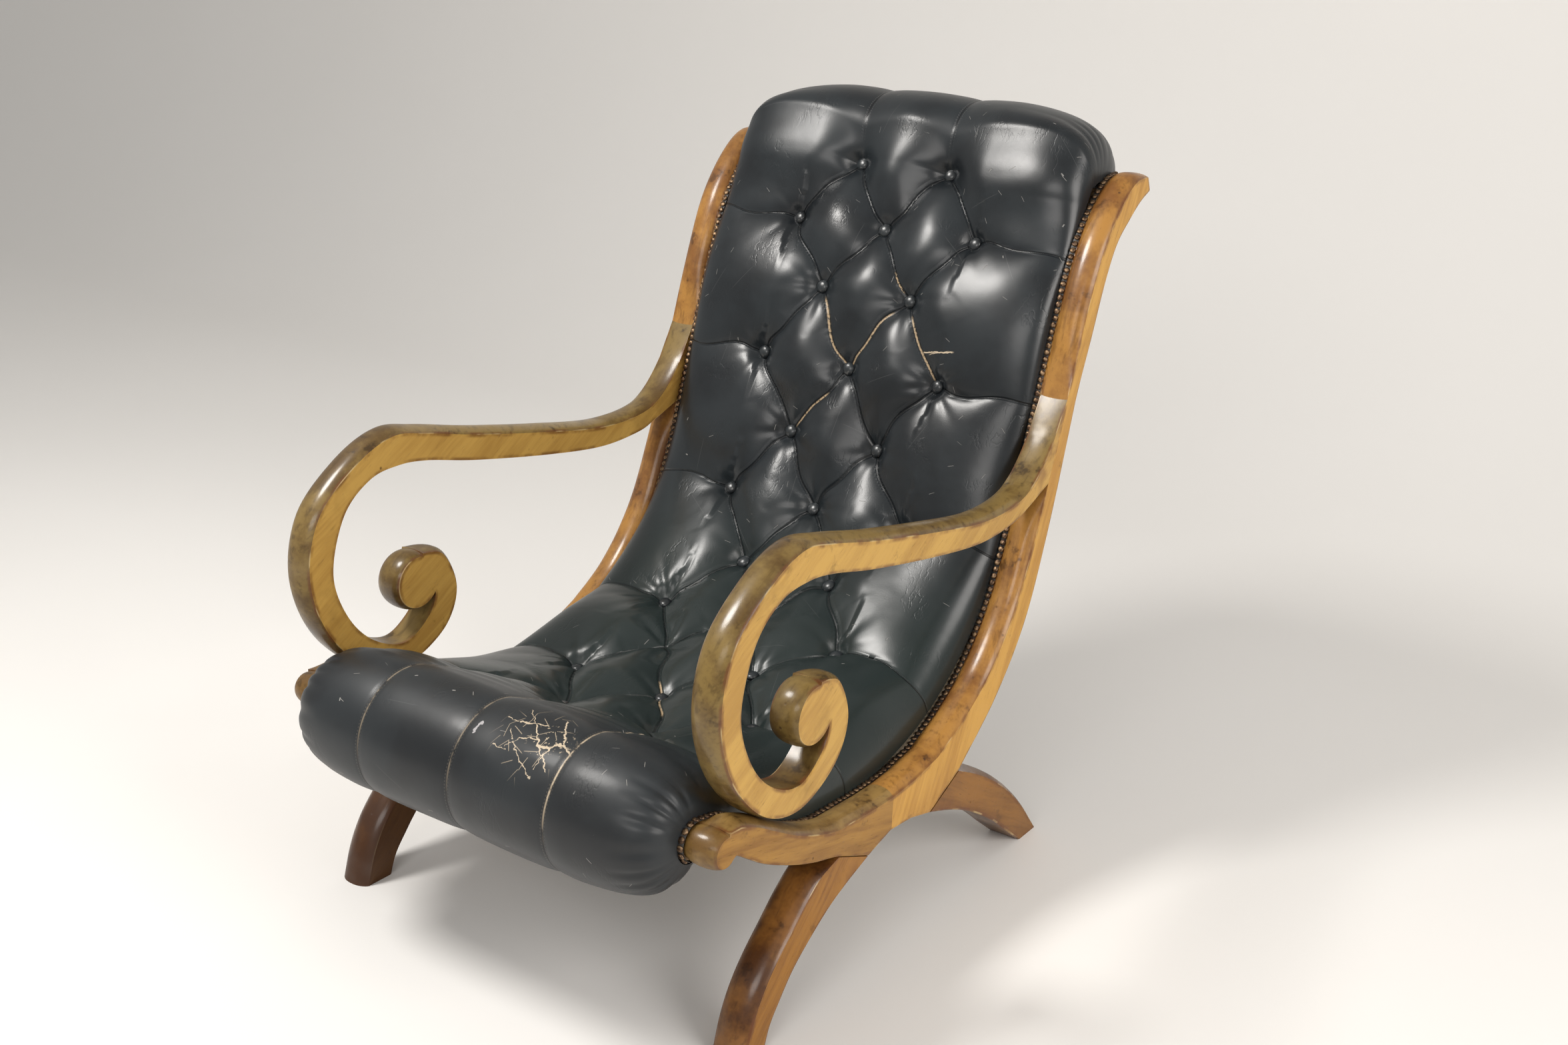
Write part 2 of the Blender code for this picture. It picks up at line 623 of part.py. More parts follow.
button_count = 0
for number in range(FIRST_BUTTON_ROW, LAST_BUTTON_ROW + 1):
    for place in button_places(number):
        if (number, place) in LOST_BUTTONS:
            continue
        button_count += 1
        r, c = fine_place(number, place)
        bottom = cover_top[r][c]
        row = line_rows[r]
        lift = (Vector(row[1:3]) - Vector(row[3:5])).normalized()
        normal = Vector((0, lift.x, lift.y))
        rise = 0
        for step in range(36):
            turn = math.radians(step * 10)
            rim = Vector((math.cos(turn), 0, 0)) + normal.cross(Vector((1, 0, 0))) * math.sin(turn)
            start = bottom + rim * BUTTON_RADIUS + normal * 0.05
            hit = cover_surface.ray_cast(start, -normal)[0]
            rise = max(rise, (hit - bottom).dot(normal))
        made = bpy.data.objects.new("button_%02d" % button_count, button_mesh)
        part_collection.objects.link(made)
        made.parent = chair_root
        made.location = bottom + normal * (rise + SEAT_GAP)
        made.rotation_euler = normal.to_track_quat("Z", "Y").to_euler()


def flat_ribbon(name, points, thickness, look, half_width, steps):
    """Thin sheet across the chair along a side-plane line."""
    row = [Vector(point) for point in spline(points, [steps] * (len(points) - 1))]
    rings = []
    for index, point in enumerate(row):
        along = row[min(index + 1, len(row) - 1)] - row[max(index - 1, 0)]
        square = Vector((-along.y, along.x)).normalized() * thickness / 2
        low = point - square
        high = point + square
        corners = ((-half_width, low), (half_width, low), (half_width, high), (-half_width, high))
        rings.append([Vector((x, place.x, place.y)) for x, place in corners])
    return loft(name, rings, look)


def platform_line(first, last, depth):
    """Points at a depth under the stuffing's rows between two row numbers."""
    chosen = [line_rows[r] for r in coarse_rows]
    return [point_over(row, 0, -depth).yz for row in chosen if first <= row[0] <= last]


# Hessian: the sheet under the stuffing, over the webbing.
hessian_depth = SEAT_GAP + HESSIAN_THICKNESS / 2
flat_ribbon("hessian", platform_line(1.5, 12, hessian_depth), HESSIAN_THICKNESS, hessian_cloth, BODY_HALF, 1)

# Webbing: straps across from frame to frame, one under each button row.
web_depth = 2 * SEAT_GAP + HESSIAN_THICKNESS + WEBBING_THICKNESS / 2 + 0.0003
for index in range(WEBBING_ROWS):
    number = 2 + index
    near = platform_line(number, number + 0.5, web_depth)
    middle = (near[0] + near[1]) / 2
    along = (near[1] - near[0]).normalized() * WEBBING_WIDTH / 2
    ends = [middle - along, middle + along]
    flat_ribbon("webbing_%02d" % (index + 1), ends, WEBBING_THICKNESS, jute_web, BODY_HALF, 1)

flat_ribbon("outside_back", BACK_PANEL_LINE, BACK_PANEL_THICKNESS, leather, BODY_HALF, 2)
flat_ribbon("bottom_cloth", BOTTOM_CLOTH_LINE, BOTTOM_CLOTH_THICKNESS, black_cloth, BODY_HALF, 1)


def wire(name, points, radius, look):
    """Round strip along points, closed at both ends."""
    curve = bpy.data.curves.new(name, "CURVE")
    curve.dimensions = "3D"
    curve.bevel_depth = radius
    curve.bevel_resolution = 1
    curve.use_fill_caps = True
    line = curve.splines.new("POLY")
    line.points.add(len(points) - 1)
    for target, point in zip(line.points, points):
        target.co = (*point, 1.0)
    made = bpy.data.objects.new(name, curve)
    curve.materials.append(look)
    part_collection.objects.link(made)
    made.parent = chair_root
    return made


# Nail strips: one line of close nails in each rebate, carried on round the front knob.
for side_name, side in (("left", -1), ("right", 1)):
    across = side * (FRAME_INNER + REBATE_WIDTH / 2)
    strip = []
    for front, back, _ in stations(STILE)[1:-1] + stations(SEAT_RAIL)[1:-1]:
        lifted = front + (front - back).normalized() * (NAIL_STRIP_RADIUS + 2 * SEAT_GAP)
        strip.append(Vector((across, lifted.x, lifted.y)))
    ring_radius = RAIL_KNOB_RADIUS + NAIL_STRIP_RADIUS + SEAT_GAP
    for angle in range(KNOB_NAILS_FROM, KNOB_NAILS_TO + 1, 12):
        strip.append(Vector((across, *polar(RAIL_KNOB_CENTRE, ring_radius, angle))))
    wire(side_name + "_nail_strip", strip, NAIL_STRIP_RADIUS, old_brass)

# The root stands the chair's box centre over the world's origin.
bpy.context.view_layer.update()
depth_values = [point.y for grid in (cover_top, cover_base) for row in grid for point in row]
chair_root.location = (0, -(min(depth_values) + max(depth_values)) / 2, 0)
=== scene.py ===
import math
from functools import reduce

import bpy
import numpy as np
from mathutils import Matrix, Vector
from mathutils.kdtree import KDTree


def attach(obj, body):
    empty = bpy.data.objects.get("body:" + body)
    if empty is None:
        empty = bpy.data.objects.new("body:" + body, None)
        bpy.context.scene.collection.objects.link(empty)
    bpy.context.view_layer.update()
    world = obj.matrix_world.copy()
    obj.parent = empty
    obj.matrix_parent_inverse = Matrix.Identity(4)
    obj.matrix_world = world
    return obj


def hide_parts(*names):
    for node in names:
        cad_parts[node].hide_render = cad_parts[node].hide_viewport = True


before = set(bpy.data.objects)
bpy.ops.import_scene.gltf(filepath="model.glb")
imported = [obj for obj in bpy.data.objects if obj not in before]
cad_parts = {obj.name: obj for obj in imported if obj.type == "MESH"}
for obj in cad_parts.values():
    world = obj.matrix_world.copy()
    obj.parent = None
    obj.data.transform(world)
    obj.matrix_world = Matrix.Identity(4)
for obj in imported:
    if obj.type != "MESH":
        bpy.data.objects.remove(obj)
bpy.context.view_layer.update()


# Side frames: each is a back stile, a seat rail, two sabre legs and a scroll arm, sawn from thick
# golden-brown hardwood, glued at butted and scarfed joints, rounded over on the front faces and
# left flat on the sides. The old polish is rubbed through where hands and knees go.
HALF_WIDTH = 0.330
FRAME_INNER = 0.284
ARM_INNER = 0.291
NAIL_REBATE = 0.0065
BACK_SHIFT = 0.25726
SIDES = (("left", -1), ("right", 1))
CRISP = 25

ARM_JOINT = ((0.535, 0.640), (0.500, 0.530))
FRONT_LEG_JOINT = ((0.032, 0.187), (0.100, 0.158))
REAR_LEG_JOINT = ((0.314, 0.187), (0.245, 0.155))
SCARF = ((0.150, 0.217), (0.150, 0.171))

# A station is a front or top edge, a back or lower edge and how far the face between is rounded;
# the last value is 1 where a straight joint face follows.
STILE = (
    ((0.722, 0.910), (0.732, 0.890), 0.6, 2), ((0.692, 0.908), (0.706, 0.878), 1, 2),
    ((0.663, 0.893), (0.678, 0.858), 1, 2), ((0.627, 0.857), (0.645, 0.829), 1, 2),
    ((0.595, 0.807), (0.620, 0.783), 1, 2), ((0.563, 0.724), (0.594, 0.713), 1, 2),
    (ARM_JOINT[0], (0.563, 0.632), 0.07, 1), (ARM_JOINT[1], (0.533, 0.522), 0.07, 2),
    ((0.478, 0.466), (0.510, 0.448), 1, 2), ((0.445, 0.390), (0.480, 0.368), 1, 2),
    ((0.410, 0.337), (0.447, 0.312), 1, 2), ((0.372, 0.297), (0.401, 0.258), 1, 2),
    ((0.338, 0.272), (0.358, 0.221), 1, 1), ((0.308, 0.254), REAR_LEG_JOINT[0], 1, 1),
    ((0.255, 0.230), REAR_LEG_JOINT[1], 1, 1), ((0.200, 0.220), (0.198, 0.167), 1, 1),
    (SCARF[0], SCARF[1], 1, 1),
)
SEAT_RAIL = (
    (SCARF[0], SCARF[1], 1, 1), ((0.115, 0.218), FRONT_LEG_JOINT[1], 1, 1),
    ((0.035, 0.223), FRONT_LEG_JOINT[0], 1, 2), ((-0.012, 0.236), (-0.018, 0.202), 1, 2),
    ((-0.055, 0.254), (-0.063, 0.219), 1, 2), ((-0.100, 0.279), (-0.115, 0.244), 1, 2),
    ((-0.133, 0.298), (-0.148, 0.265), 1, 2), ((-0.165, 0.311), (-0.172, 0.280), 0.9, 1),
    ((-0.185, 0.3125), (-0.184, 0.2735), 0.2, 1),
)
FRONT_LEG = (
    (FRONT_LEG_JOINT[0], FRONT_LEG_JOINT[1], 0.05, 1), ((-0.001, 0.178), (0.062, 0.145), 0.9, 2),
    ((-0.030, 0.158), (0.020, 0.127), 1, 2), ((-0.061, 0.130), (-0.019, 0.103), 1, 2),
    ((-0.092, 0.101), (-0.052, 0.078), 1, 2), ((-0.115, 0.073), (-0.077, 0.050), 1, 2),
    ((-0.132, 0.040), (-0.095, 0.026), 1, 2), ((-0.144, 0.000), (-0.105, 0.000), 1, 1),
)
REAR_LEG = (
    (REAR_LEG_JOINT[0], REAR_LEG_JOINT[1], 0.05, 1), ((0.345, 0.172), (0.283, 0.142), 0.9, 2),
    ((0.385, 0.150), (0.333, 0.121), 1, 2), ((0.430, 0.121), (0.380, 0.095), 1, 2),
    ((0.472, 0.088), (0.424, 0.066), 1, 2), ((0.512, 0.050), (0.466, 0.033), 1, 2),
    ((0.556, 0.000), (0.509, 0.000), 1, 1),
)
SCROLL_ARM = (
    (ARM_JOINT[0], ARM_JOINT[1], 0.05, 1), ((0.506, 0.590), (0.481, 0.523), 0.9, 2),
    ((0.463, 0.545), (0.448, 0.511), 1, 2), ((0.415, 0.526), (0.410, 0.500), 1, 2),
    ((0.330, 0.524), (0.327, 0.496), 1, 2), ((0.215, 0.542), (0.212, 0.510), 1, 2),
    ((0.080, 0.568), (0.076, 0.534), 1, 2), ((-0.010, 0.589), (-0.008, 0.553), 1, 2),
    ((-0.067, 0.597), (-0.058, 0.558), 1, 2), ((-0.128, 0.573), (-0.106, 0.550), 1, 2),
    ((-0.188, 0.521), (-0.149, 0.514), 1, 2), ((-0.206, 0.446), (-0.170, 0.444), 1, 2),
    ((-0.181, 0.368), (-0.150, 0.382), 0.8, 2), ((-0.122, 0.306), (-0.110, 0.338), 0.37, 2),
    ((-0.054, 0.287), (-0.058, 0.318), 0.4, 2), ((0.012, 0.316), (-0.017, 0.340), 1, 2),
    ((0.036, 0.366), (-0.002, 0.370), 1, 2), ((0.014, 0.419), (-0.018, 0.400), 0.8, 2),
    ((-0.022, 0.4305), (-0.030, 0.404), 0.2, 1),
)


def curve_through(keys, steps):
    """Smooth rows of numbers through key rows, with the given steps after each; 0 is a straight run of 4."""
    keys = np.array(keys, float)
    rows = []
    for i, count in enumerate(steps[: len(keys) - 1]):
        before, start, end, after = keys[max(i - 1, 0)], keys[i], keys[i + 1], keys[min(i + 2, len(keys) - 1)]
        for t in np.arange(count or 4) / (count or 4):
            bend = (end - before) * t + (2 * before - 5 * start + 4 * end - after) * t * t
            bend = bend + (3 * start - before - 3 * end + after) * t**3
            rows.append(start + (bend / 2 if count else (end - start) * t))
    return np.array(rows + [keys[-1]])


def fine_stations(table):
    """Front points, back points, directions from back to front and rounding shares along a member."""
    keys = [(*front, *back, share) for front, back, share, _ in table]
    rows = curve_through(keys, [10 if kind == 2 else 0 for *_, kind in table])
    front, back, share = rows[:, :2], rows[:, 2:4], rows[:, 4].clip(0.05)
    across = (front - back) / np.linalg.norm(front - back, axis=1)[:, None]
    return front, back, across, share


def new_object(name, data):
    """Object added to the scene."""
    made = bpy.data.objects.new(name, data)
    bpy.context.scene.collection.objects.link(made)
    return made


def new_mesh(name, corners, faces, crease):
    """Mesh object, smooth but for the edges that turn more than crease degrees."""
    mesh = bpy.data.meshes.new(name)
    mesh.from_pydata(corners, [], faces)
    mesh.shade_smooth()
    mesh.set_sharp_from_angle(angle=math.radians(crease))
    return new_object(name, mesh)


def run_lengths(line):
    """Length travelled at each point of a line."""
    return np.concatenate([[0], np.cumsum(np.hypot(*np.diff(line, axis=0).T))])


def closed_body(name, rings, crease=CRISP):
    """Mesh object through matching rings of points, with both ends closed and its faces outwards."""
    rings = np.asarray(rings, float)
    count, around = rings.shape[:2]
    this = np.arange(count * around).reshape(count, around)
    sides = np.stack([this[:-1], np.roll(this, -1, 1)[:-1], np.roll(this, -1, 1)[1:], this[1:]], -1)
    faces = sides.reshape(-1, 4).tolist() + [this[0][::-1].tolist(), this[-1].tolist()]
    corners = rings.reshape(-1, 3)
    low, high = corners[this[:-1]], corners[this[1:]]
    turn = np.cross(np.roll(low, -1, 1) - low, high - low)
    if (turn * (low - corners.mean(0))).sum() < 0:
        faces = [face[::-1] for face in faces]
    return new_mesh(name, corners.tolist(), faces, crease)


ARCH = np.array([0, 0.01, 0.03, 0.07, 0.13, 0.21, 0.31, 0.42, 0.5, 0.58, 0.69, 0.79, 0.87, 0.93, 0.97, 0.99, 1])
ARCH_RISE = (1 - np.abs(2 * ARCH - 1) ** 2.5) ** 0.9


def frame_member(name, table, side, inner, swell, rebate):
    """Sawn member with flat sides, a rounded front face and an eased outer back corner."""
    front, back, across, share = fine_stations(table)
    wide = HALF_WIDTH - inner - rebate
    ease, tight, row_gap, corner_gap = 0.003, 0.0009, 0.007, 0.002
    # Each point of the ring: its x, whether it is on the front line, and how far it is past that line
    # (None on the rounded face).
    ring = [(inner, 0, 0), (inner + 0.008, 0, 0), (HALF_WIDTH - 0.008, 0, 0), (HALF_WIDTH - ease, 0, 0)]
    ring += [(HALF_WIDTH - tight, 0, tight), (HALF_WIDTH, 0, ease), (HALF_WIDTH, 0, row_gap)]
    ring += [(HALF_WIDTH, 1, -row_gap), (HALF_WIDTH, 1, -corner_gap)]
    ring += [(HALF_WIDTH - t * wide, 1, None if rise else 0) for t, rise in zip(ARCH, ARCH_RISE)][:-1]
    if rebate:
        ring += [(inner + rebate, 1, 0.0002), (inner + rebate / 2, 1, 0)]
    ring += [(inner, 1, 0), (inner, 1, -corner_gap), (inner, 1, -row_gap), (inner, 0, row_gap)]
    arch_of = {round(HALF_WIDTH - t * wide, 7): rise for t, rise in zip(ARCH, ARCH_RISE)}
    points = []
    for x, on_front, lift in ring:
        rise = swell * share * arch_of[round(x, 7)] if lift is None else lift
        line = (front if on_front else back) + across * np.broadcast_to(rise, len(share))[:, None]
        points.append(np.column_stack([np.full(len(line), side * x), line[:, 0] - BACK_SHIFT, line[:, 1]]))
    return closed_body(name, np.stack(points, 1))


def add_turned_eye(member, centre, radius, side, inner):
    """Joins a scroll's round eye to its member: flat cheeks and a rounded rim, all one piece of wood."""
    wide, rim_rise = HALF_WIDTH - inner, 0.005
    cheek = radius - rim_rise
    turn = np.linspace(0, 2 * math.pi, 73)[:-1]
    rim = [(t * wide, cheek + rim_rise * rise) for t, rise in zip(ARCH, ARCH_RISE)]
    profile = [(0, 0.15 * cheek), (0, 0.75 * cheek), *rim, (wide, 0.75 * cheek), (wide, 0.15 * cheek)]
    rings = []
    for x, reach in profile:
        y, z = centre[0] + reach * np.cos(turn) - BACK_SHIFT, centre[1] + reach * np.sin(turn)
        rings.append(np.column_stack([np.full(len(turn), side * (inner + x)), y, z]))
    eye = closed_body(member.name + "_eye", rings)
    join = member.modifiers.new("eye", "BOOLEAN")
    join.operation, join.object = "UNION", eye
    shaped = member.evaluated_get(bpy.context.evaluated_depsgraph_get())
    member.data = bpy.data.meshes.new_from_object(shaped)
    member.modifiers.clear()
    bpy.data.objects.remove(eye)
    member.data.set_sharp_from_angle(angle=math.radians(CRISP))


def mark_arrises(piece, joint):
    """Stores how near each point is to a crisp edge, but not round the glued joint, as 'arris'."""
    mesh, joint_reach, point_gap, fade = piece.data, 0.0015, 0.002, 0.0035
    (y, z), (end_y, end_z) = joint
    line = Vector((end_y - y, end_z - z)).normalized()
    bent, faces_at = [], {}
    for face in mesh.polygons:
        for key in face.edge_keys:
            faces_at.setdefault(key, []).append(face.normal)
    for (a, b), normals in faces_at.items():
        if len(normals) == 2 and normals[0].angle(normals[1], 0) > math.radians(CRISP):
            start, end = mesh.vertices[a].co, mesh.vertices[b].co
            off_joint = max(abs(line.cross(Vector((p.y + BACK_SHIFT - y, p.z - z)))) for p in (start, end))
            if off_joint >= joint_reach:
                count = 2 + int((end - start).length / point_gap)
                bent += [start.lerp(end, t) for t in np.linspace(0, 1, count)]
    tree = KDTree(len(bent))
    for index, point in enumerate(bent):
        tree.insert(point, index)
    tree.balance()
    near = [math.exp(-((tree.find(vertex.co)[2] / fade) ** 2)) for vertex in mesh.vertices]
    mesh.attributes.new("arris", "FLOAT", "POINT").data.foreach_set("value", near)


class Shade:
    """A value or colour inside a material, used in sums as a number is."""

    def __init__(self, socket):
        self.socket = socket

    def node(self, kind, settings, values, out=0):
        """Output of a new node in the same material, from its settings and its sockets' values or links."""
        tree = self.socket.id_data
        made = tree.nodes.new("ShaderNode" + kind)
        for key, value in settings.items():
            setattr(made, key, value)
        for key, value in values.items():
            socket = made.inputs[key]
            if isinstance(value, Shade):
                tree.links.new(value.socket, socket)
            else:
                socket.default_value = (*value, 1) if socket.type == "RGBA" else value
        return Shade(made.outputs[out])

    def maths(self, operation, *others):
        return self.node("Math", {"operation": operation}, dict(enumerate((self, *others))))

    def vector(self, operation, *others, out=0):
        return self.node("VectorMath", {"operation": operation}, dict(enumerate((self, *others))), out)

    def __add__(self, other):
        return self.maths("ADD", other)

    def __sub__(self, other):
        return self.maths("SUBTRACT", other)

    def __mul__(self, other):
        return self.maths("MULTIPLY", other)

    def __rsub__(self, other):
        return self.node("Math", {"operation": "SUBTRACT"}, {0: other, 1: self})

    __radd__, __rmul__ = __add__, __mul__

    def __abs__(self):
        return self.maths("ABSOLUTE")

    def part(self, name):
        """One of the three numbers of a vector."""
        return self.node("SeparateXYZ", {}, {0: self}, name)

    def stretched(self, x, y, z):
        """A place with its three lengths multiplied."""
        return self.vector("MULTIPLY", (x, y, z))

    def noise(self, scale, detail=3, roughness=0.55):
        """Cloudy value from 0 to 1 at this place."""
        values = {"Vector": self, "Scale": scale, "Detail": detail, "Roughness": roughness}
        return self.node("TexNoise", {}, values)

    def between(self, low, high):
        """Soft step from 0 at low to 1 at high."""
        settings = {"interpolation_type": "SMOOTHSTEP"}
        return self.node("MapRange", settings, {"Value": self, "From Min": low, "From Max": high})

    def fade(self, low, high):
        """Soft step from 1 at low to 0 at high."""
        return 1 - self.between(low, high)

    def blend(self, low, high):
        """Colour low where this value is 0 and colour high where it is 1."""
        return self.node("Mix", {"data_type": "RGBA"}, {0: self, 6: low, 7: high}, 2)


def new_finish(name, **fixed):
    """Material with plain values on its shader; gives it, its shader and the place on the chair."""
    made = bpy.data.materials.new(name)
    made.use_nodes = True
    shader = made.node_tree.nodes["Principled BSDF"]
    for key, value in fixed.items():
        shader.inputs[key.replace("_", " ").title().replace("Ior", "IOR")].default_value = value
    return made, shader, Shade(made.node_tree.nodes.new("ShaderNodeTexCoord").outputs["Object"])


def lay_on(shader, colour, roughness, height, depth, coat=None):
    """Connects a finish's colour, roughness, relief and varnish to its shader."""
    relief = colour.node("Bump", {}, {"Height": height, "Distance": depth, "Strength": 1.0})
    ends = {"Base Color": colour, "Roughness": roughness, "Normal": relief, "Coat Weight": coat}
    for key, value in ends.items():
        if value:
            colour.socket.id_data.links.new(value.socket, shader.inputs[key])


def dimmed(colour, share):
    """A share of a colour."""
    return [part * share for part in colour]


def wood_finish(name, grain, flat_colours, round_colours, far_shade_share=0.0):
    """Old polished hardwood: long grain at an angle in the side plane, rounded faces darker, edges grimed and
    given a painted highlight, the far side in painted shade.
    """
    made, shader, place = new_finish(name, specular_ior_level=0.22, coat_roughness=0.19)
    turned = {"Vector": place, "Angle": -math.radians(grain)}
    run = place.node("VectorRotate", {"rotation_type": "X_AXIS"}, turned)
    sway = run.node("TexNoise", {}, {"Vector": run, "Scale": 6.0, "Detail": 2.0}, "Color")
    run = run.vector("ADD", sway.stretched(0, 0.02, 0.02))
    figure = run.stretched(7, 2.2, 12).noise(2.0, 3)
    streaks = run.stretched(40, 4, 52).noise(3.0, 4, 0.6)
    pores = run.stretched(150, 11, 170).noise(5.0, 2).between(0.64, 0.74)
    stains = place.noise(8, 5, 0.62)
    patches = place.noise(21, 4, 0.7)
    flat = abs(place.node("NewGeometry", {}, {}, "Normal").part("X")).between(0.80, 0.97)
    pale, brown = flat_colours
    flats = (streaks * 0.45 + figure * 0.65).between(0.42, 0.72).blend(pale, brown)
    flats = (stains.between(0.54, 0.72) * 0.45).blend(flats, dimmed(brown, 0.55))
    flats = (patches.between(0.62, 0.70) * 0.40).blend(flats, dimmed(brown, 0.40))
    pale, dark = round_colours
    rounds = (stains * 0.7 + patches * 0.4).between(0.46, 0.66).blend(pale, dark)
    rounds = (streaks.between(0.50, 0.72) * 0.5).blend(rounds, dimmed(dark, 0.55))
    rounds = (patches.between(0.60, 0.68) * 0.7).blend(rounds, dimmed(dark, 0.35))
    colour = flat.blend(rounds, flats)
    colour = (pores * 0.35).blend(colour, dimmed(brown, 0.30))
    arris = place.node("Attribute", {"attribute_name": "arris"}, {}, "Fac")
    grime = place.noise(30, 3).between(0.38, 0.62)
    colour = (arris.between(0.20, 0.80) * grime * 0.70).blend(colour, (0.130, 0.040, 0.012))
    # A pale line along the crisp edges, broken by noise: a painted highlight, mixed with polish rubbed through.
    edge_highlight_and_wear = arris.between(0.85, 0.98) * (1 - place.noise(24, 2).between(0.36, 0.50))
    colour = (edge_highlight_and_wear * 0.55).blend(colour, (0.62, 0.46, 0.22))
    dents = place.node("TexVoronoi", {}, {"Vector": place, "Scale": 44.0, "Randomness": 1.0}, "Distance")
    dent = (1 - dents.between(0.03, 0.12)) * place.noise(11, 1).between(0.60, 0.68)
    colour = (dent * 0.7).blend(colour, (0.050, 0.022, 0.010))
    # The left-hand members, on the far side of the chair, are painted darker: painted shade.
    far = 1 - place.part("X").between(-0.1, 0.1)
    colour = (far * far_shade_share).blend(colour, (0.048, 0.018, 0.006))
    roughness = 0.34 - flat * 0.08 + place.noise(16, 4) * 0.18 + pores * 0.12 + dent * 0.2
    coat = (1 - flat) * (0.08 + place.noise(13, 3).between(0.36, 0.64) * 0.50) + 0.04
    relief = streaks * 0.20 - pores * 0.30 - dent + place.noise(38, 3) * 0.55
    lay_on(shader, colour, roughness, relief, 0.0006, coat)
    return made


stile_wood = wood_finish(
    "stile_wood", 66,
    ((0.60, 0.325, 0.062), (0.44, 0.215, 0.036)), ((0.39, 0.190, 0.042), (0.20, 0.082, 0.019)),
)
rail_wood = wood_finish(
    "rail_wood", -14,
    ((0.37, 0.190, 0.036), (0.23, 0.104, 0.018)), ((0.27, 0.165, 0.050), (0.14, 0.074, 0.020)),
)
arm_wood = wood_finish(
    "arm_wood", 32,
    ((0.56, 0.335, 0.082), (0.43, 0.240, 0.055)), ((0.205, 0.135, 0.040), (0.090, 0.050, 0.013)),
)
front_leg_wood = wood_finish(
    "front_leg_wood", 44,
    ((0.34, 0.150, 0.022), (0.20, 0.078, 0.012)), ((0.23, 0.095, 0.019), (0.078, 0.027, 0.006)), 0.85,
)
rear_leg_wood = wood_finish(
    "rear_leg_wood", -28,
    ((0.28, 0.120, 0.018), (0.17, 0.068, 0.010)), ((0.16, 0.072, 0.018), (0.075, 0.030, 0.009)), 0.4,
)
EYES = {"seat_rail": ((-0.190, 0.292), 0.0225), "scroll_arm": ((-0.030, 0.393), 0.0395)}

for side_name, side in SIDES:
    for part, table, inner, swell, rebate, wood in (
        ("back_stile", STILE, FRAME_INNER, 0.009, NAIL_REBATE, stile_wood),
        ("seat_rail", SEAT_RAIL, FRAME_INNER, 0.009, NAIL_REBATE, rail_wood),
        ("front_leg", FRONT_LEG, FRAME_INNER, 0.009, 0, front_leg_wood),
        ("rear_leg", REAR_LEG, FRAME_INNER, 0.009, 0, rear_leg_wood),
        ("scroll_arm", SCROLL_ARM, ARM_INNER, 0.008, 0, arm_wood),
    ):
        node = side_name + "_" + part
        member = frame_member(node + "_wood", table, side, inner, swell, rebate)
        if part in EYES:
            add_turned_eye(member, *EYES[part], side, inner)
        mark_arrises(member, table[-1][:2] if part == "back_stile" else table[0][:2])
        member.data.materials.clear()
        member.data.materials.append(wood)
        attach(member, "root")
        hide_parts(node)


# Cross rails: a square rail under the top roll, a round one in the front roll and a square one under
# the seat's lowest point, all plain unpolished wood, butted between the side frames and hidden
# but for the centre rail's underside.
def dress_solid(node, finish):
    """Gives a solid that stays in view its finish."""
    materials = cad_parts[node].data.materials
    materials.clear()
    materials.append(finish)


plain_wood, shader, place = new_finish("plain_rail_wood")
grain = place.stretched(4, 60, 60).noise(5, 4)
colour = grain.between(0.3, 0.7).blend((0.30, 0.19, 0.09), (0.17, 0.10, 0.045))
lay_on(shader, colour, 0.7 + grain * 0.2, grain, 0.0005)
for node in ("top_rail", "front_rail", "centre_rail"):
    dress_solid(node, plain_wood)


# Webbing and hessian: jute straps strained across the frames, with a plain sacking sheet over them.
# Both are sewn and tacked down, and lie hidden between the stuffing and the outer cloths.
def woven_finish(name, pale, dark, threads):
    """Plain weave of coarse threads, crossing over and under."""
    made, shader, place = new_finish(name, sheen_weight=0.3)
    over = place.part("X") * threads
    along = (place.part("Y") + place.part("Z") * 0.6) * threads
    weave = over.maths("SINE") * along.maths("COSINE")
    fuzz = place.noise(260, 3)
    colour = (weave * 0.35 + fuzz).between(0.2, 0.9).blend(dark, pale)
    lay_on(shader, colour, 0.85 + fuzz * 0.12, weave + fuzz * 0.4, 0.0006)
    return made


jute = woven_finish("jute_webbing", (0.40, 0.30, 0.17), (0.22, 0.15, 0.08), 1600)
sacking = woven_finish("hessian_sacking", (0.36, 0.26, 0.14), (0.17, 0.12, 0.06), 2600)
dress_solid("hessian", sacking)
for number in range(1, 11):
    dress_solid("webbing_%02d" % number, jute)


# Upholstery: one hide pleated over hair stuffing in deep diamonds, from a stuffed roll behind the
# sitter's head to another behind the knees. Buttons hold it down in rows of two and three, stitched
# seams run on over both rolls, and its sides are drawn round and nailed in the frames' rebates.
SPACING = 0.1445
COVER_HALF = 0.2837
TOP_ROLL, FRONT_ROLL = (0.671, 0.876), (-0.190, 0.289)
STEPS = 48

# Each row: its number, the point of the hide's crest and the point under the stuffing.
CREST_ROWS = (
    (1, (0.626, 0.899), (0.651, 0.886)), (2, (0.573, 0.822), (0.607, 0.806)),
    (3, (0.529, 0.735), (0.566, 0.721)), (4, (0.493, 0.633), (0.537, 0.620)),
    (5, (0.463, 0.538), (0.512, 0.515)), (6, (0.424, 0.453), (0.470, 0.420)),
    (7, (0.366, 0.381), (0.405, 0.328)), (8, (0.289, 0.331), (0.310, 0.256)),
    (9, (0.206, 0.313), (0.208, 0.220)), (10, (0.110, 0.296), (0.110, 0.210)),
    (11, (0.012, 0.302), (-0.008, 0.222)), (12, (-0.083, 0.338), (-0.078, 0.256)),
)
BUTTONS = [(row, place) for row in range(1, 12) for place in ((-0.5, 0.5) if row % 2 else (-1, 0, 1))]
LOST_BUTTON = (9, -0.5)


def on_circle(centre, radius, degrees):
    """Side-plane point on a roll, measured from its back over its top."""
    turn = math.radians(degrees)
    return centre[0] + radius * math.cos(turn), centre[1] + radius * math.sin(turn)


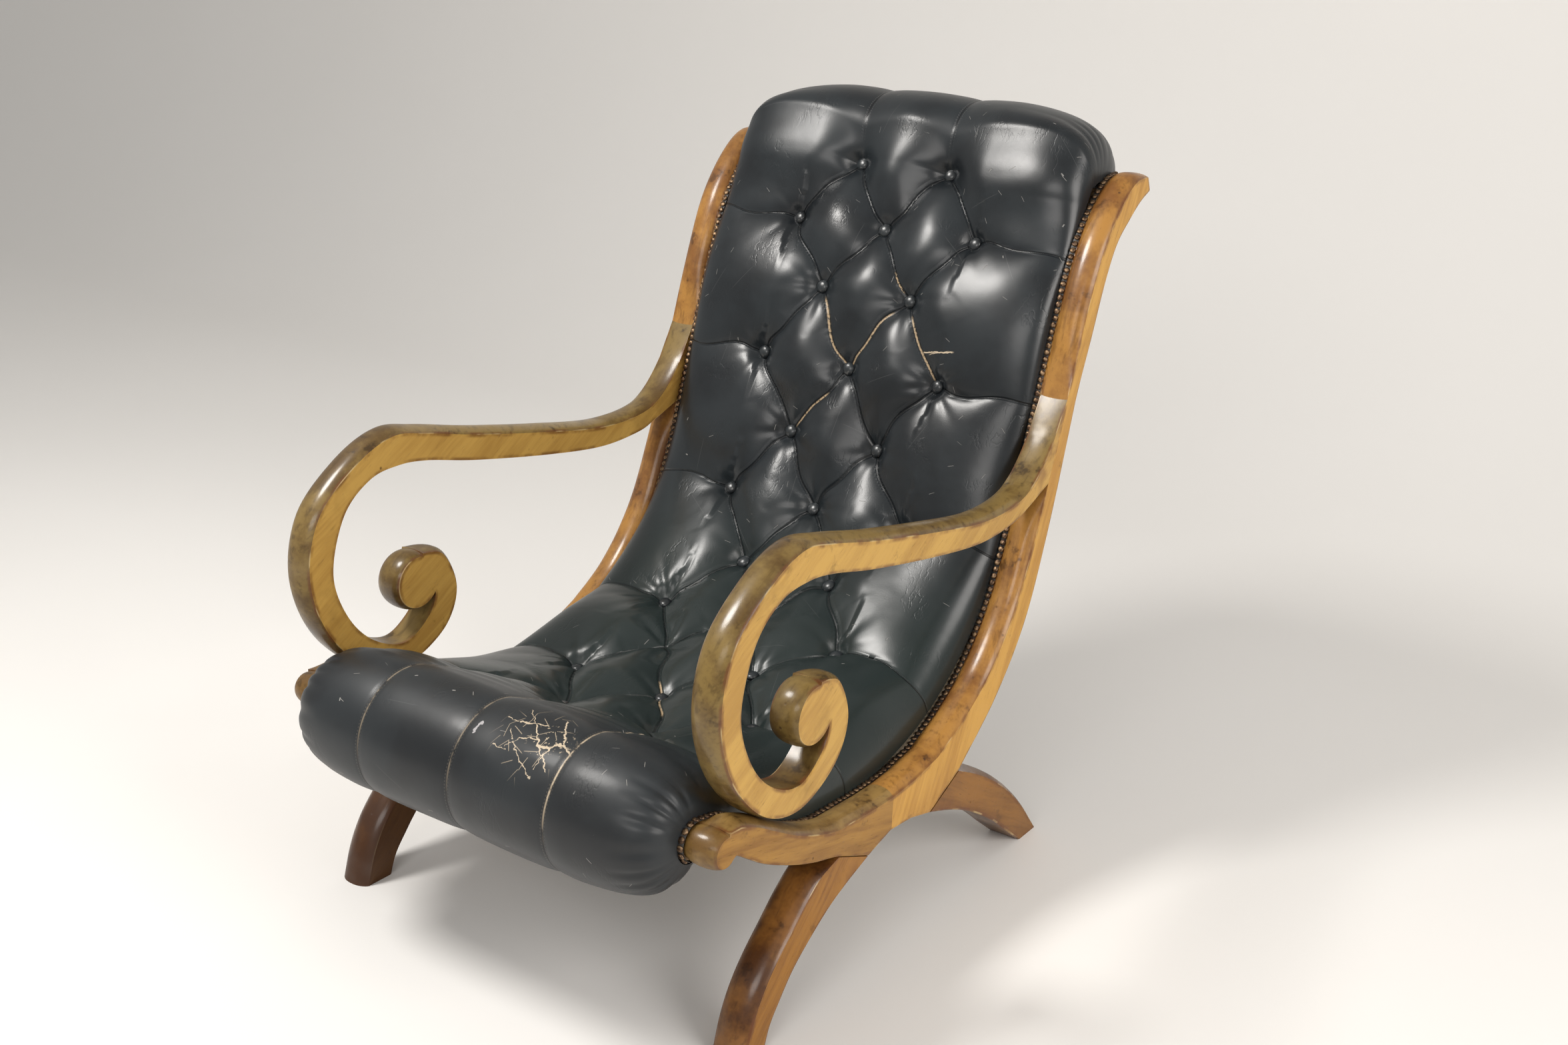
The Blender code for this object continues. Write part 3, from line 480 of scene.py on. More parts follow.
def narrowing(progress, start, full, end):
    """A roll's radius, full to start and then drawn in to its tucked end."""
    share = max((progress - start) / (1 - start), 0)
    return full + (end - full) * share * share * (3 - 2 * share)


def roll_row(row):
    """Crest and platform points beyond the first button row (top roll) or the last valley (front roll)."""
    if row < 1:
        progress = (1 - row) / 3
        shift = narrowing(progress, 0.72, 1.0, 0.15)
        centre = [a + (b - a) * shift for a, b in zip(TOP_ROLL, (0.712, 0.914))]
        crest = on_circle(centre, narrowing(progress, 0.72, 0.080, 0.034), 172 - 232 * progress)
        return (*crest, *on_circle(TOP_ROLL, 0.0208, 155 - 205 * progress))
    progress = (row - 13) / 3.25
    crest = on_circle(FRONT_ROLL, narrowing(progress, 0.66, 0.085, 0.030), 75 + 235 * progress)
    return (*crest, *on_circle(FRONT_ROLL, 0.0209, 75 + 235 * progress))


key_rows = [(0.75, *roll_row(0.75))] + [(row, *crest, *under) for row, crest, under in CREST_ROWS]
middle = curve_through(key_rows + [(13, *roll_row(13))], [30] + [STEPS] * 12)
top = [(row, *roll_row(row)) for row in np.arange(-2, 0.75, 1 / STEPS)]
front = [(row, *roll_row(row)) for row in np.arange(13 + 1 / STEPS, 16.25 + 1e-9, 1 / STEPS)]
line = np.array(top + middle.tolist() + front)

# The joins between the rolls and the tufted part are softened.
kernel = np.exp(-np.linspace(-2, 2, 13) ** 2)
for column in range(1, 5):
    line[6:-6, column] = np.convolve(line[:, column], kernel / kernel.sum(), "valid")
run = run_lengths(line[:, 1:3])
COVER_ROWS, COVER_COLUMNS = 566, 168
even = np.linspace(0, run[-1], COVER_ROWS)
row_at, crest_y, crest_z, under_y, under_z = (np.interp(even, run, line[:, i]) for i in range(5))
share_across = np.linspace(-1, 1, COVER_COLUMNS)
across = COVER_HALF * (1.15 * share_across - 0.15 * share_across**3)
X, LENGTH = np.meshgrid(across, even)
ROW = np.interp(LENGTH, even, row_at)
button_length = {row: float(np.interp(row, row_at, even)) for row in range(1, 14)}


def near_buttons(x, length):
    """Nearest button's distance, its angle and its number, for places on the hide."""
    best = np.full(np.shape(x), 9.0)
    angle, number = np.zeros(np.shape(x)), np.zeros(np.shape(x))
    for index, (row, place) in enumerate(BUTTONS):
        dx, dl = x - place * SPACING, length - button_length[row]
        away = np.hypot(dx, dl)
        closer = away < best
        best = np.where(closer, away, best)
        angle = np.where(closer, np.arctan2(dl, dx), angle)
        number = np.where(closer, index, number)
    return best, angle, number


def hide_depth(x, row, length):
    """How far the hide lies under its crest, and the pleat numbers and pad height for the finish."""
    away, angle, number = near_buttons(x, length)

    # Diamonds between the buttons and straight pleats at the sides, both wandering a little.
    free = 1 - np.exp(-((away / 0.022) ** 2))
    wander = np.sin(31 * length + 17 * x + 1.3) + 0.6 * np.sin(67 * length - 41 * x + 0.4)
    drift = np.sin(27 * x - 22 * length + 2.1) + 0.6 * np.sin(59 * x + 37 * length)
    u = x / SPACING + 0.030 * wander * free
    r = row + 0.045 * drift * free
    a, b = u + r / 2, u - r / 2
    sa, sb = np.abs(np.sin(math.pi * a)), np.abs(np.sin(math.pi * b))
    body = (sa * sb) ** 0.60
    raised = 0.22 * (sb**2 * (1 - sa) ** 2 + sa**2 * (1 - sb) ** 2)
    diamonds = raised + (1 - raised) * body
    side_pleat = np.abs(np.sin(math.pi * r / 2)) ** 0.62
    outer = np.clip((np.abs(x) / COVER_HALF - 0.55) / 0.45, 0, 1)
    sides = side_pleat + (1 - side_pleat) * (0.15 + 0.45 * outer)
    blend_out = np.clip((np.abs(u) - 1) / 0.10, 0, 1)
    pad = np.where(np.abs(u) <= 1, diamonds, side_pleat * (1 - blend_out) + sides * blend_out)

    # Pads between the seams of both rolls.
    above = np.clip(1 - row, 0, None)
    fade = 1 / (1 + 5.0 * above)
    top_pad = 1 - fade * np.where(np.abs(u) < 1, 1 - np.abs(np.cos(math.pi * u)) ** 1.2, 0)
    below = np.clip(row - 12, 0, None)
    fade = 1 / (1 + 11.0 * below)
    seam_pad = 1 - fade * np.where(np.abs(u) < 1.5, 1 - np.abs(np.sin(math.pi * u)) ** 1.2, 0)
    fold_side = np.where(np.abs(u) > 1, sides + (1 - sides) * np.clip(below * 1.6, 0, 1), 1)
    pad = np.where(row < 1, top_pad, np.where(row > 12, np.minimum(seam_pad, fold_side), pad))

    # The pull of the buttons, less at the lost one, and of the ends of the front seams.
    held = 1 - np.exp(-((away / 0.0125) ** 3))
    lost = (number == BUTTONS.index(LOST_BUTTON)) & (away < 0.06)
    deep = 0.0205 + 0.0050 * np.clip((row - 6) / 2, 0, 1) * np.clip(12.5 - row, 0, 1)
    dimple = np.where(lost, 0.004, 0.0070) * np.exp(-((away / 0.0165) ** 2))
    depth = deep * (1 - pad * np.where(lost, 1, held)) + dimple
    ends = [(x - place * SPACING) ** 2 + (length - button_length[12]) ** 2 for place in (-1, 0, 1)]
    depth = depth + 0.006 * sum(np.exp(-end / 0.014**2) for end in ends)

    # Small folds that run out from each button, longer on the seat.
    folds = 6 + (number * 7) % 4
    pinch = np.abs(np.cos(folds * angle / 2 + number * 1.7)) ** 4
    strength = (0.0016 + 0.0014 * np.sin(number * 2.3) ** 2) * np.where(lost, 2.0, 1)
    strength = strength * np.clip(row / 3 - 0.1, 0.2, 1)
    seat_share = np.clip((row - 6.5) / 1.5, 0, 1)
    pinch = pinch * np.exp(-away / (0.030 + 0.014 * seat_share)) * (1 - np.exp(-((away / 0.020) ** 3)))
    depth = depth + strength * (1.25 + 0.35 * seat_share) * pinch

    # Seams along both rolls, gathers at their sides and slack where the seat meets the front roll.
    for centre, active in ((-0.5, row < 1), (0.5, row < 1), (-1, row > 12), (0, row > 12), (1, row > 12)):
        off = x - centre * SPACING
        ease = np.clip(np.where(row < 1, above, below) * 2.5, 0, 1)
        groove = 0.0012 * np.exp(-((off / 0.0036) ** 2)) + 0.0014 * np.exp(-((off / 0.016) ** 2))
        depth = depth + np.where(active, groove * ease, 0)
    edge = np.clip((np.abs(x) - 0.222) / 0.050, 0, 1)
    gather = np.abs(np.cos(length * 105 + 0.9 * np.sin(length * 47) + x * 11)) ** 5
    on_roll = np.clip(below * 3 - 0.4, 0, 1) + np.clip(above * 2.5 - 0.5, 0, 1) * 0.55
    depth = depth + 0.0052 * gather * edge**1.3 * on_roll
    slack = np.exp(-(((row - 12.15 - 0.5 * np.abs(x) / COVER_HALF) / 0.35) ** 2))
    depth = depth + 0.0007 * (slack * np.sin(length * 250 + x * 20))

    # Uneven stuffing, the fuller neck under the top roll and the top roll's rounded pads.
    swell = np.sin(9 * x + 6 * length) * np.sin(5 * length - 7 * x + 1) * 0.0016
    beside = np.clip((np.abs(u) - 0.45) / 1.2, 0, 1)
    beside = beside * beside * (3 - 2 * beside)
    neck = (0.017 + 0.010 * beside) * np.exp(-(((row - 0.85) / 0.60) ** 2)) * (0.40 + 0.60 * pad)
    over_pad = np.where(np.abs(u) < 0.5, np.abs(u) + 0.5, (np.abs(u) - 0.5) / 1.46)
    crown = 0.0045 * (2 * over_pad - 1) ** 2 * np.clip(above * 4, 0, 1) * np.clip(1.15 - above, 0, 1)
    return depth + swell + crown - neck, a, b, pad


hide_drop, PLEAT_A, PLEAT_B, PAD = hide_depth(X, ROW, LENGTH)
to_side = np.abs(X / COVER_HALF)
on_top, on_front = np.clip((1.2 - ROW) * 1.2, 0, 1), np.clip((ROW - 12) * 1.5, 0, 1)
round_share = np.sqrt(np.clip(1 - to_side ** (7 + 15 * np.maximum(on_top, on_front)), 0, None))
round_share = round_share * (1 - 0.42 * on_top * to_side**3.8) * (1 - 0.34 * on_front * to_side**5)
lift_y, lift_z = crest_y - under_y, crest_z - under_z
reach = np.hypot(lift_y, lift_z)
lift_y, lift_z = lift_y / reach, lift_z / reach
edge_rise = 0.007 - 0.003 * on_front
rise = edge_rise + np.clip(reach[:, None] - edge_rise, 0, None) * round_share - hide_drop * round_share
hide_y = under_y[:, None] + lift_y[:, None] * rise - BACK_SHIFT
hide_z = under_z[:, None] + lift_z[:, None] * rise
hide_points = np.stack([X, hide_y, hide_z], -1)
upholstery = closed_body("tufted_hide", hide_points, 80)
for attribute, values in (("hide_place", (X, LENGTH, ROW)), ("pleats", (PLEAT_A, PLEAT_B, PAD))):
    stored = upholstery.data.attributes.new(attribute, "FLOAT_VECTOR", "POINT")
    stored.data.foreach_set("vector", np.stack(values, -1).astype(np.float32).ravel())


def hide_base(place, flat, pale, dark):
    """Colour, roughness and relief of the old hide: fine pebbled grain, soft creases and cloudy dye."""
    cells = flat.node("TexVoronoi", {}, {"Vector": flat, "Scale": 620.0}, "Distance")
    clouds = place.noise(9, 4)
    creases = abs(flat.stretched(1, 0.45, 1).noise(70, 3, 0.55) - 0.5)
    creased = place.noise(14, 2).between(0.52, 0.68)
    colour = clouds.between(0.35, 0.65).blend(dark, pale)
    roughness = 0.24 + clouds * 0.12 + flat.noise(160, 2) * 0.04
    height = cells * 0.022 - creases.fade(0.0, 0.05) * creased * 0.14 + place.noise(17, 2, 0.4) * 1.1
    return colour, roughness, height


def scratches(flat, cell, length, width, share, shift):
    """Short straight scratches, one in some of the cells of a scattered pattern, each at its own angle."""
    moved = flat.vector("ADD", (shift, shift * 1.7, 0))
    scattered = {"Vector": moved, "Scale": 1 / cell}
    cells = moved.node("TexVoronoi", {"voronoi_dimensions": "2D"}, scattered, "Position")
    chance = Shade(cells.socket.node.outputs["Color"])
    local = moved.vector("SUBTRACT", cells)
    turn = chance.part("X") * 6.283
    x, y, cosine, sine = local.part("X"), local.part("Y"), turn.maths("COSINE"), turn.maths("SINE")
    off = abs(x * sine - y * cosine)
    along = abs(x * cosine + y * sine)
    line = off.fade(width * 0.4, width) * along.fade(length * 0.3, length * 0.5)
    return line * chance.part("Y").maths("LESS_THAN", share)


hide_leather, hide_shader, chair_place = new_finish(
    "tufted_hide_leather", specular_ior_level=0.42, coat_weight=0.15, coat_roughness=0.22
)
hide_place = chair_place.node("Attribute", {"attribute_name": "hide_place"}, {}, "Vector")
pleat_place = chair_place.node("Attribute", {"attribute_name": "pleats"}, {}, "Vector")
flat_place = hide_place.stretched(1, 1, 0)
x_at, length_at, row_number = hide_place.part("X"), hide_place.part("Y"), hide_place.part("Z")
colour, roughness, height = hide_base(chair_place, flat_place, (0.014, 0.018, 0.021), (0.007, 0.009, 0.011))
on_seat = row_number.between(5.5, 8.0) * row_number.fade(11.8, 13.0)
colour = (on_seat * 0.7).blend(colour, (0.019, 0.029, 0.027))


def spot(place, x, length, radius):
    """Soft round mask on the hide."""
    return place.vector("DISTANCE", (x, length, 0), out="Value").fade(radius * 0.5, radius)


# Worn places on the hide: pale thread-thin wear along the pleats and seams, a cracked patch on the
# front roll, a torn scratch on the back and many small scratches; the creases are also darkened with painted
# shade.
pleat_a, pleat_b = pleat_place.part("X"), pleat_place.part("Y")
side_row = (pleat_a - pleat_b) * 0.5
off_a, off_b, off_side = (line - line.maths("ROUND") for line in (pleat_a, pleat_b, side_row))
beyond = abs(x_at).between(0.1415, 0.1475)
tufted_rows = row_number.between(0.9, 1.1) * row_number.fade(11.9, 12.1)
in_diamonds = tufted_rows * (1 - beyond)
at_sides = beyond * row_number.between(1.5, 1.7) * row_number.fade(12.0, 12.2)


def combined(operation, values):
    """The least or greatest of several values."""
    return reduce(lambda one, other: one.maths(operation, other), values)


def pleat_band(near, far):
    """Mask of the creases between the diamonds and of the straight pleats at the sides."""
    diamonds = combined("MAXIMUM", (abs(off).fade(near, far) for off in (off_a, off_b))) * in_diamonds
    return diamonds.maths("MAXIMUM", abs(off_side).fade(near * 0.4, far * 0.4) * at_sides)


def lip_beside(off):
    """Mask of the raised lip on one side of a crease."""
    return off.between(0.012, 0.030) * off.fade(0.030, 0.070)


def worn_pleat(line, number, along, start, end):
    """Thin frayed line on one named crease, from one share of its length to another."""
    on_line = abs(line - number).fade(0.006, 0.016) * along.between(start - 0.04, start + 0.04)
    return on_line * along.fade(end - 0.04, end + 0.04)


crease = pleat_band(0.0, 0.028)
lip = lip_beside(off_b).maths("MAXIMUM", lip_beside(0 - off_a)) * in_diamonds
worn_pleats = combined("MAXIMUM", (worn_pleat(*place) for place in (
    (pleat_b, -2, pleat_a, 1.15, 1.95), (pleat_a, 2, pleat_b, -1.95, -1.20),
    (pleat_b, -1, pleat_a, 2.20, 2.92), (pleat_a, 2, pleat_b, -2.90, -2.35),
    (pleat_b, -1, pleat_a, 1.60, 1.85), (pleat_b, -5, pleat_a, 4.80, 5.60),
)))
frayed = flat_place.noise(240, 3).between(0.32, 0.50)
CREAM, TAN = (0.60, 0.49, 0.35), (0.42, 0.31, 0.19)
# The creases between the pads are painted near-black: painted shade in the folds.
colour = (pleat_band(0.002, 0.012) * 0.8).blend(colour, (0.004, 0.005, 0.006))
colour = (worn_pleats * frayed).blend(colour, TAN)

seam_off = combined("MINIMUM", (abs(x_at - centre * SPACING) for centre in (-1, 0, 1)))
on_front_roll = row_number.between(12.0, 12.3) * row_number.fade(15.2, 15.6)
top_off = abs(abs(x_at) - 0.5 * SPACING)
on_top_roll = row_number.fade(0.5, 0.9)
thread_beat = (length_at * 1500).maths("SINE").between(-0.2, 0.3)
THREAD_OFF = 0.0028
front_thread = abs(seam_off - THREAD_OFF).fade(0.0003, 0.0009) * on_front_roll
top_thread = abs(top_off - THREAD_OFF).fade(0.0003, 0.0009) * on_top_roll
front_cut = seam_off.fade(0.0003, 0.0011) * on_front_roll
top_cut = top_off.fade(0.0003, 0.0011) * on_top_roll
seam_wear = flat_place.noise(38, 4, 0.7).between(0.36, 0.54) * row_number.fade(13.9, 14.7)
seam_wear = seam_wear * (0.40 + x_at.between(0.05, 0.12) * 0.60)
seam_wear = seam_wear * seam_off.fade(0.0006, 0.0017) * on_front_roll
colour = ((front_cut + top_cut) * 0.8).blend(colour, (0.006, 0.006, 0.007))
colour = (front_thread * thread_beat * 0.45).blend(colour, (0.10, 0.09, 0.075))
colour = seam_wear.blend(colour, CREAM)
colour = (top_thread * thread_beat * 0.55).blend(colour, (0.090, 0.090, 0.088))

# The cracked patch: each crack runs through places on the front roll, given in millimetres across and past
# the roll's start, with a half-width for each stretch.
CRACKS = (
    (((54, 21), (78, 41), (96, 59), (109, 70), (131, 90)), (0.1, 0.5, 0.8, 0.4)),
    (((41, 46), (60, 46), (93, 38)), (0.3, 0.6)),
    (((97, 62), (87, 62), (77, 66), (64, 80)), (0.6, 0.3, 0.1)),
    (((104, 66), (119, 65), (124, 57), (130, 55), (146, 63)), (1.2, 0.8, 1.0, 0.7)),
    (((104, 18), (130, 53)), (0.7,)),
    (((120, 65), (116, 76), (116, 94)), (0.7, 0.2)),
    (((57, 59), (72, 74), (98, 94), (116, 103)), (0.1, 0.2, 0.1)),
    (((48, 83), (68, 84)), (0.2,)),
)
ragged = flat_place.node("TexNoise", {}, {"Vector": flat_place, "Scale": 150.0, "Detail": 3.0}, "Color")
ragged = flat_place.vector("ADD", ragged.vector("MULTIPLY_ADD", (0.009, 0.009, 0), (-0.0045, -0.0045, 0)))


def off_stretch(place, start, end, half_width):
    """How far a place lies outside one straight stretch of a crack."""
    stretch = (Vector(end) - Vector(start)).to_3d() / 1000
    first = (start[0] / 1000, start[1] / 1000 + button_length[13], 0)
    past = place.vector("SUBTRACT", first)
    share = past.vector("DOT_PRODUCT", stretch / stretch.length_squared, out="Value")
    share = share.node("Math", {"operation": "ADD", "use_clamp": True}, {0: share, 1: 0.0})
    nearest = share.node("VectorMath", {"operation": "SCALE"}, {0: stretch, "Scale": share})
    return past.vector("DISTANCE", nearest, out="Value") - half_width / 1000


def off_crack(points, half_widths):
    """How far a ragged place lies outside a crack."""
    stretches = zip(points, points[1:], half_widths)
    return combined("MINIMUM", (off_stretch(ragged, *stretch) for stretch in stretches))


crack_off = combined("MINIMUM", (off_crack(*crack) for crack in CRACKS))
crack_line = crack_off.fade(0.0, 0.0006) * flat_place.noise(210, 3).between(0.30, 0.42)
patch_middle = button_length[13] + 0.059
hairs = scratches(flat_place, 0.015, 0.026, 0.0006, 0.75, 0.13)
hairs = hairs * spot(flat_place, 0.092, patch_middle, 0.062) * 0.55
flakes = flat_place.noise(190, 3, 0.6).between(0.60, 0.65)
flakes = flakes * spot(flat_place, 0.113, patch_middle - 0.004, 0.034) * 0.8
cracked = crack_line.maths("MAXIMUM", hairs).maths("MAXIMUM", flakes)
colour = (cracked * 0.92).blend(colour, CREAM)
flaked = off_crack(((14, 78), (16, 63)), (1.4,)).fade(0.0, 0.0010)
colour = (flaked * 0.75).blend(colour, (0.52, 0.50, 0.51))

TEAR_X, TEAR_SLOPE = 0.142, 0.16
tear_length = (button_length[3] + button_length[4]) / 2 + 0.008
past_tear = abs(x_at - TEAR_X).between(0.021, 0.028)
tear_off = length_at - tear_length + (x_at - TEAR_X) * TEAR_SLOPE + (flat_place.noise(60, 3) - 0.5) * 0.010
tear_line = abs(tear_off).fade(0.0004, 0.0013) * (1 - past_tear)
fork = abs(tear_off + (x_at - 0.158) * TEAR_SLOPE + 0.0015).fade(0.0002, 0.0008)
fork = fork * abs(x_at - 0.144).fade(0.012, 0.018)
small = scratches(flat_place, 0.034, 0.010, 0.00042, 0.22, 0.0)
long = scratches(flat_place, 0.085, 0.055, 0.00040, 0.35, 0.31)
chips = scratches(flat_place, 0.060, 0.005, 0.0010, 0.22, 0.77)
marks = small.maths("MAXIMUM", chips) * flat_place.noise(13, 2).between(0.38, 0.52)
colour = (marks * (0.55 + on_front_roll * 0.35)).blend(colour, (0.34, 0.33, 0.31))
colour = (long * 0.16).blend(colour, (0.20, 0.20, 0.20))
colour = (tear_line.maths("MAXIMUM", fork)).blend(colour, CREAM)
dull = marks.maths("MAXIMUM", spot(flat_place, 0.092, patch_middle, 0.062)) * 0.5
height = height - crease * 1.7 + lip * 0.5 - (front_cut + top_cut) * 1.3 - marks * 0.3
height = height + (front_thread + top_thread) * thread_beat * 0.5
dry = row_number.between(11.8, 13.2) + row_number.fade(0.2, 1.2) * 0.6
dry = dry * (0.10 + flat_place.noise(7, 3) * 0.14)
lay_on(hide_shader, colour, roughness + dull * 0.35 + dry, height, 0.0009)
upholstery.data.materials.append(hide_leather)
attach(upholstery, "root")
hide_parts("leather_cover", "stuffing")


# Buttons: wooden moulds covered with scraps of the same hide, gathered underneath, each pulled down
# by twine through the stuffing. One is lost from the seat, and its place keeps only the pleats.
button_leather, shader, place = new_finish("button_leather", coat_weight=0.3, coat_roughness=0.25)
colour, roughness, height = hide_base(place, place, (0.020, 0.025, 0.028), (0.010, 0.012, 0.014))
rub = place.noise(170, 3).between(0.60, 0.72)
colour = (rub * 0.5).blend(colour, (0.16, 0.155, 0.145))
lay_on(shader, colour, roughness, height + rub * 0.1, 0.0001)

# Each ring of a button: its radius and its height over the hide.
BUTTON_PROFILE = (
    (0.0030, -0.0006), (0.0086, -0.0004), (0.0096, 0.0010), (0.0095, 0.0024), (0.0084, 0.0042),
    (0.0066, 0.0055), (0.0044, 0.0063), (0.0020, 0.0067), (0.0004, 0.0068),
)
BUTTON_LIFT, PUCKERED_BELOW = 0.0012, 0.003
spin = np.linspace(0, 2 * math.pi, 29)[:-1]
number = 0
for row, place in BUTTONS:
    if (row, place) == LOST_BUTTON:
        continue
    number += 1
    x = place * SPACING
    line_index = int(np.argmin(np.abs(row_at - row)))
    column_index = int(np.argmin(np.abs(across - x)))
    seat = Vector(hide_points[line_index, column_index])
    up = Vector((0, lift_y[line_index], lift_z[line_index]))
    side_way = up.cross(Vector((1, 0, 0))).normalized()
    tilt = 0.10 * math.sin(number * 2.7)
    rings = []
    for reach, high in BUTTON_PROFILE:
        pucker = 1 + 0.018 * np.cos(9 * spin + number) * (high < PUCKERED_BELOW)
        flat_x, flat_y = reach * pucker * np.cos(spin), reach * pucker * np.sin(spin)
        lifted = high + tilt * flat_x * 0.6 + BUTTON_LIFT
        rings.append([
            [x + fx, *(seat.yz + side_way.yz * fy + up.yz * h)] for fx, fy, h in zip(flat_x, flat_y, lifted)
        ])
    button = closed_body("covered_button_%02d" % number, rings, 70)
    button.data.materials.append(button_leather)
    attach(button, "root")
    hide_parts("button_%02d" % number)


# Nails: the hide's edge is turned into the rebate on a narrow leather strip and held by dome-headed
# brass nails set nearly touching, down each stile, along the rail and round its front knob.
NAIL_PITCH, NAIL_RADIUS, NAIL_DOME = 0.0092, 0.0042, 0.0024
brass, shader, place = new_finish("tarnished_brass", metallic=1.0)
tarnish = place.noise(230, 3)
colour = tarnish.between(0.38, 0.66).blend((0.085, 0.052, 0.036), (0.34, 0.225, 0.130))
lay_on(shader, colour, 0.32 + tarnish * 0.30, tarnish, 0.0004)
edge_leather, shader, place = new_finish("nailed_edge_leather")
colour, roughness, height = hide_base(place, place, (0.040, 0.036, 0.032), (0.014, 0.013, 0.013))
lay_on(shader, colour, roughness + 0.15, height, 0.0008)

# The line of the nails, and the way up from it: the front of the stile and the rail, then the knob.
nail_line, nail_up = [], []
for table, last in ((STILE, -1), (SEAT_RAIL, -6)):
    front_line, _, front_up, _ = fine_stations(table)
    nail_line += front_line[3:last].tolist()
    nail_up += front_up[3:last].tolist()
knob, knob_radius = EYES["seat_rail"]
for degrees in range(78, 246, 4):
    nail_line.append(on_circle(knob, knob_radius + 0.0001, degrees))
    nail_up.append(on_circle((0, 0), 1, degrees))
nail_line, nail_up = np.array(nail_line), np.array(nail_up)
nail_run = run_lengths(nail_line)
nail_stops = np.arange(0.004, nail_run[-1], NAIL_PITCH)
DOME_RINGS = ((1.0, 0.0), (1.0, 0.35), (0.80, 0.78), (0.45, 0.96))
DOME_SIDES = 12
dome_turn = np.linspace(0, 2 * math.pi, DOME_SIDES + 1)[:-1]

# The strip's cross-section: how far past the frame's inner face, and how far over the nails' line.
EDGE_SECTION = ((-0.0012, 0.0002), (0.0058, 0.0002), (0.0058, 0.0009), (0.0024, 0.0016), (-0.0012, 0.0014))

for side_name, side in SIDES:
    rng = np.random.default_rng(7 + side)
    corners, faces = [], []
    for stop in nail_stops:
        y, z, ny, nz = (np.interp(stop, nail_run, values) for values in (*nail_line.T, *nail_up.T))
        up = Vector((0, ny, nz)).normalized() + Vector(rng.normal(0, 0.05, 3))
        up.normalize()
        one = up.orthogonal().normalized()
        two = up.cross(one)
        foot = Vector((side * (FRAME_INNER + 0.0026 + rng.normal(0, 0.0002)), y - BACK_SHIFT, z))
        foot = foot + Vector((0, ny, nz)) * 0.0013
        first = len(corners)
        for share, high in DOME_RINGS:
            for turn in dome_turn:
                out = (one * math.cos(turn) + two * math.sin(turn)) * NAIL_RADIUS * share
                corners.append(foot + out + up * NAIL_DOME * high)
        corners.append(foot + up * NAIL_DOME)
        tip = len(corners) - 1
        for low in range(first, tip, DOME_SIDES):
            for i in range(DOME_SIDES):
                this, after = low + i, low + (i + 1) % DOME_SIDES
                above = (after + DOME_SIDES, this + DOME_SIDES) if low + DOME_SIDES < tip else (tip,)
                faces.append((this, after, *above))
        faces.append([first + i for i in reversed(range(DOME_SIDES))])
    nails = new_mesh(side_name + "_dome_nails", corners, faces, 60)
    nails.data.materials.append(brass)
    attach(nails, "root")
    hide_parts(side_name + "_nail_strip")
    strip_rings = []
    for (y, z), (ny, nz) in zip(nail_line, nail_up):
        ring = [(side * (FRAME_INNER + x), y + ny * h - BACK_SHIFT, z + nz * h) for x, h in EDGE_SECTION]
        strip_rings.append(ring)
    strip = closed_body(side_name + "_leather_edge", strip_rings)
    strip.data.materials.append(edge_leather)
    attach(strip, "root")


# Outer cloths: a plain hide panel closes the back from the top roll down to the centre rail, and a
# thin black dust cloth is strained under the seat. Both are tacked to the inner sides of the frames.
BACK_PANEL = (
    (0.684, 0.851), (0.637, 0.825), (0.584, 0.713), (0.553, 0.632), (0.523, 0.522), (0.500, 0.448),
    (0.470, 0.370), (0.436, 0.317), (0.388, 0.265), (0.350, 0.233), (0.3128, 0.212),
)
DUST_CLOTH = (
    (0.2715, 0.197), (0.200, 0.186), (0.110, 0.184), (0.035, 0.198), (-0.015, 0.212), (-0.060, 0.230),
    (-0.115, 0.256), (-0.148, 0.270), (-0.168, 0.2745),
)


def strained_sheet(name, points, thickness, give, waves):
    """Sheet held at both frames and at its ends, with slight pulls from its tacked sides; and its length."""
    path = curve_through(points, [12] * len(points))
    along = np.gradient(path, axis=0)
    square = np.column_stack([-along[:, 1], along[:, 0]]) / np.linalg.norm(along, axis=1)[:, None]
    travelled = run_lengths(path)
    places = np.linspace(-COVER_HALF, COVER_HALF, 61)
    rings = []
    for (y, z), (sy, sz), s in zip(path, square, travelled):
        held = (1 - (places / COVER_HALF) ** 2) * np.sin(math.pi * s / travelled[-1])
        pull = np.abs(places / COVER_HALF) ** 6 * (1 - np.abs(places / COVER_HALF) ** 40)
        bow = give * held + 0.0008 * pull * np.sin(s * waves)
        upper = np.column_stack([places, y + sy * bow - BACK_SHIFT, z + sz * bow])
        lower = upper[::-1] - np.array([0, sy * thickness, sz * thickness])
        rings.append(np.concatenate([upper, lower]))
    return closed_body(name, rings, 50), travelled[-1]


back_leather, shader, place = new_finish("outside_back_leather", coat_weight=0.2, coat_roughness=0.35)
colour, roughness, height = hide_base(place, place, (0.030, 0.034, 0.037), (0.015, 0.018, 0.020))
scuffs = place.noise(22, 5, 0.7).between(0.60, 0.72)
colour = (scuffs * 0.35).blend(colour, (0.10, 0.10, 0.10))
lay_on(shader, colour, roughness + scuffs * 0.2, height, 0.0010)
back_panel, back_length = strained_sheet("outside_back_panel", BACK_PANEL, 0.0018, 0.004, 260)
back_panel.data.materials.append(back_leather)
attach(back_panel, "root")
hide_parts("outside_back")

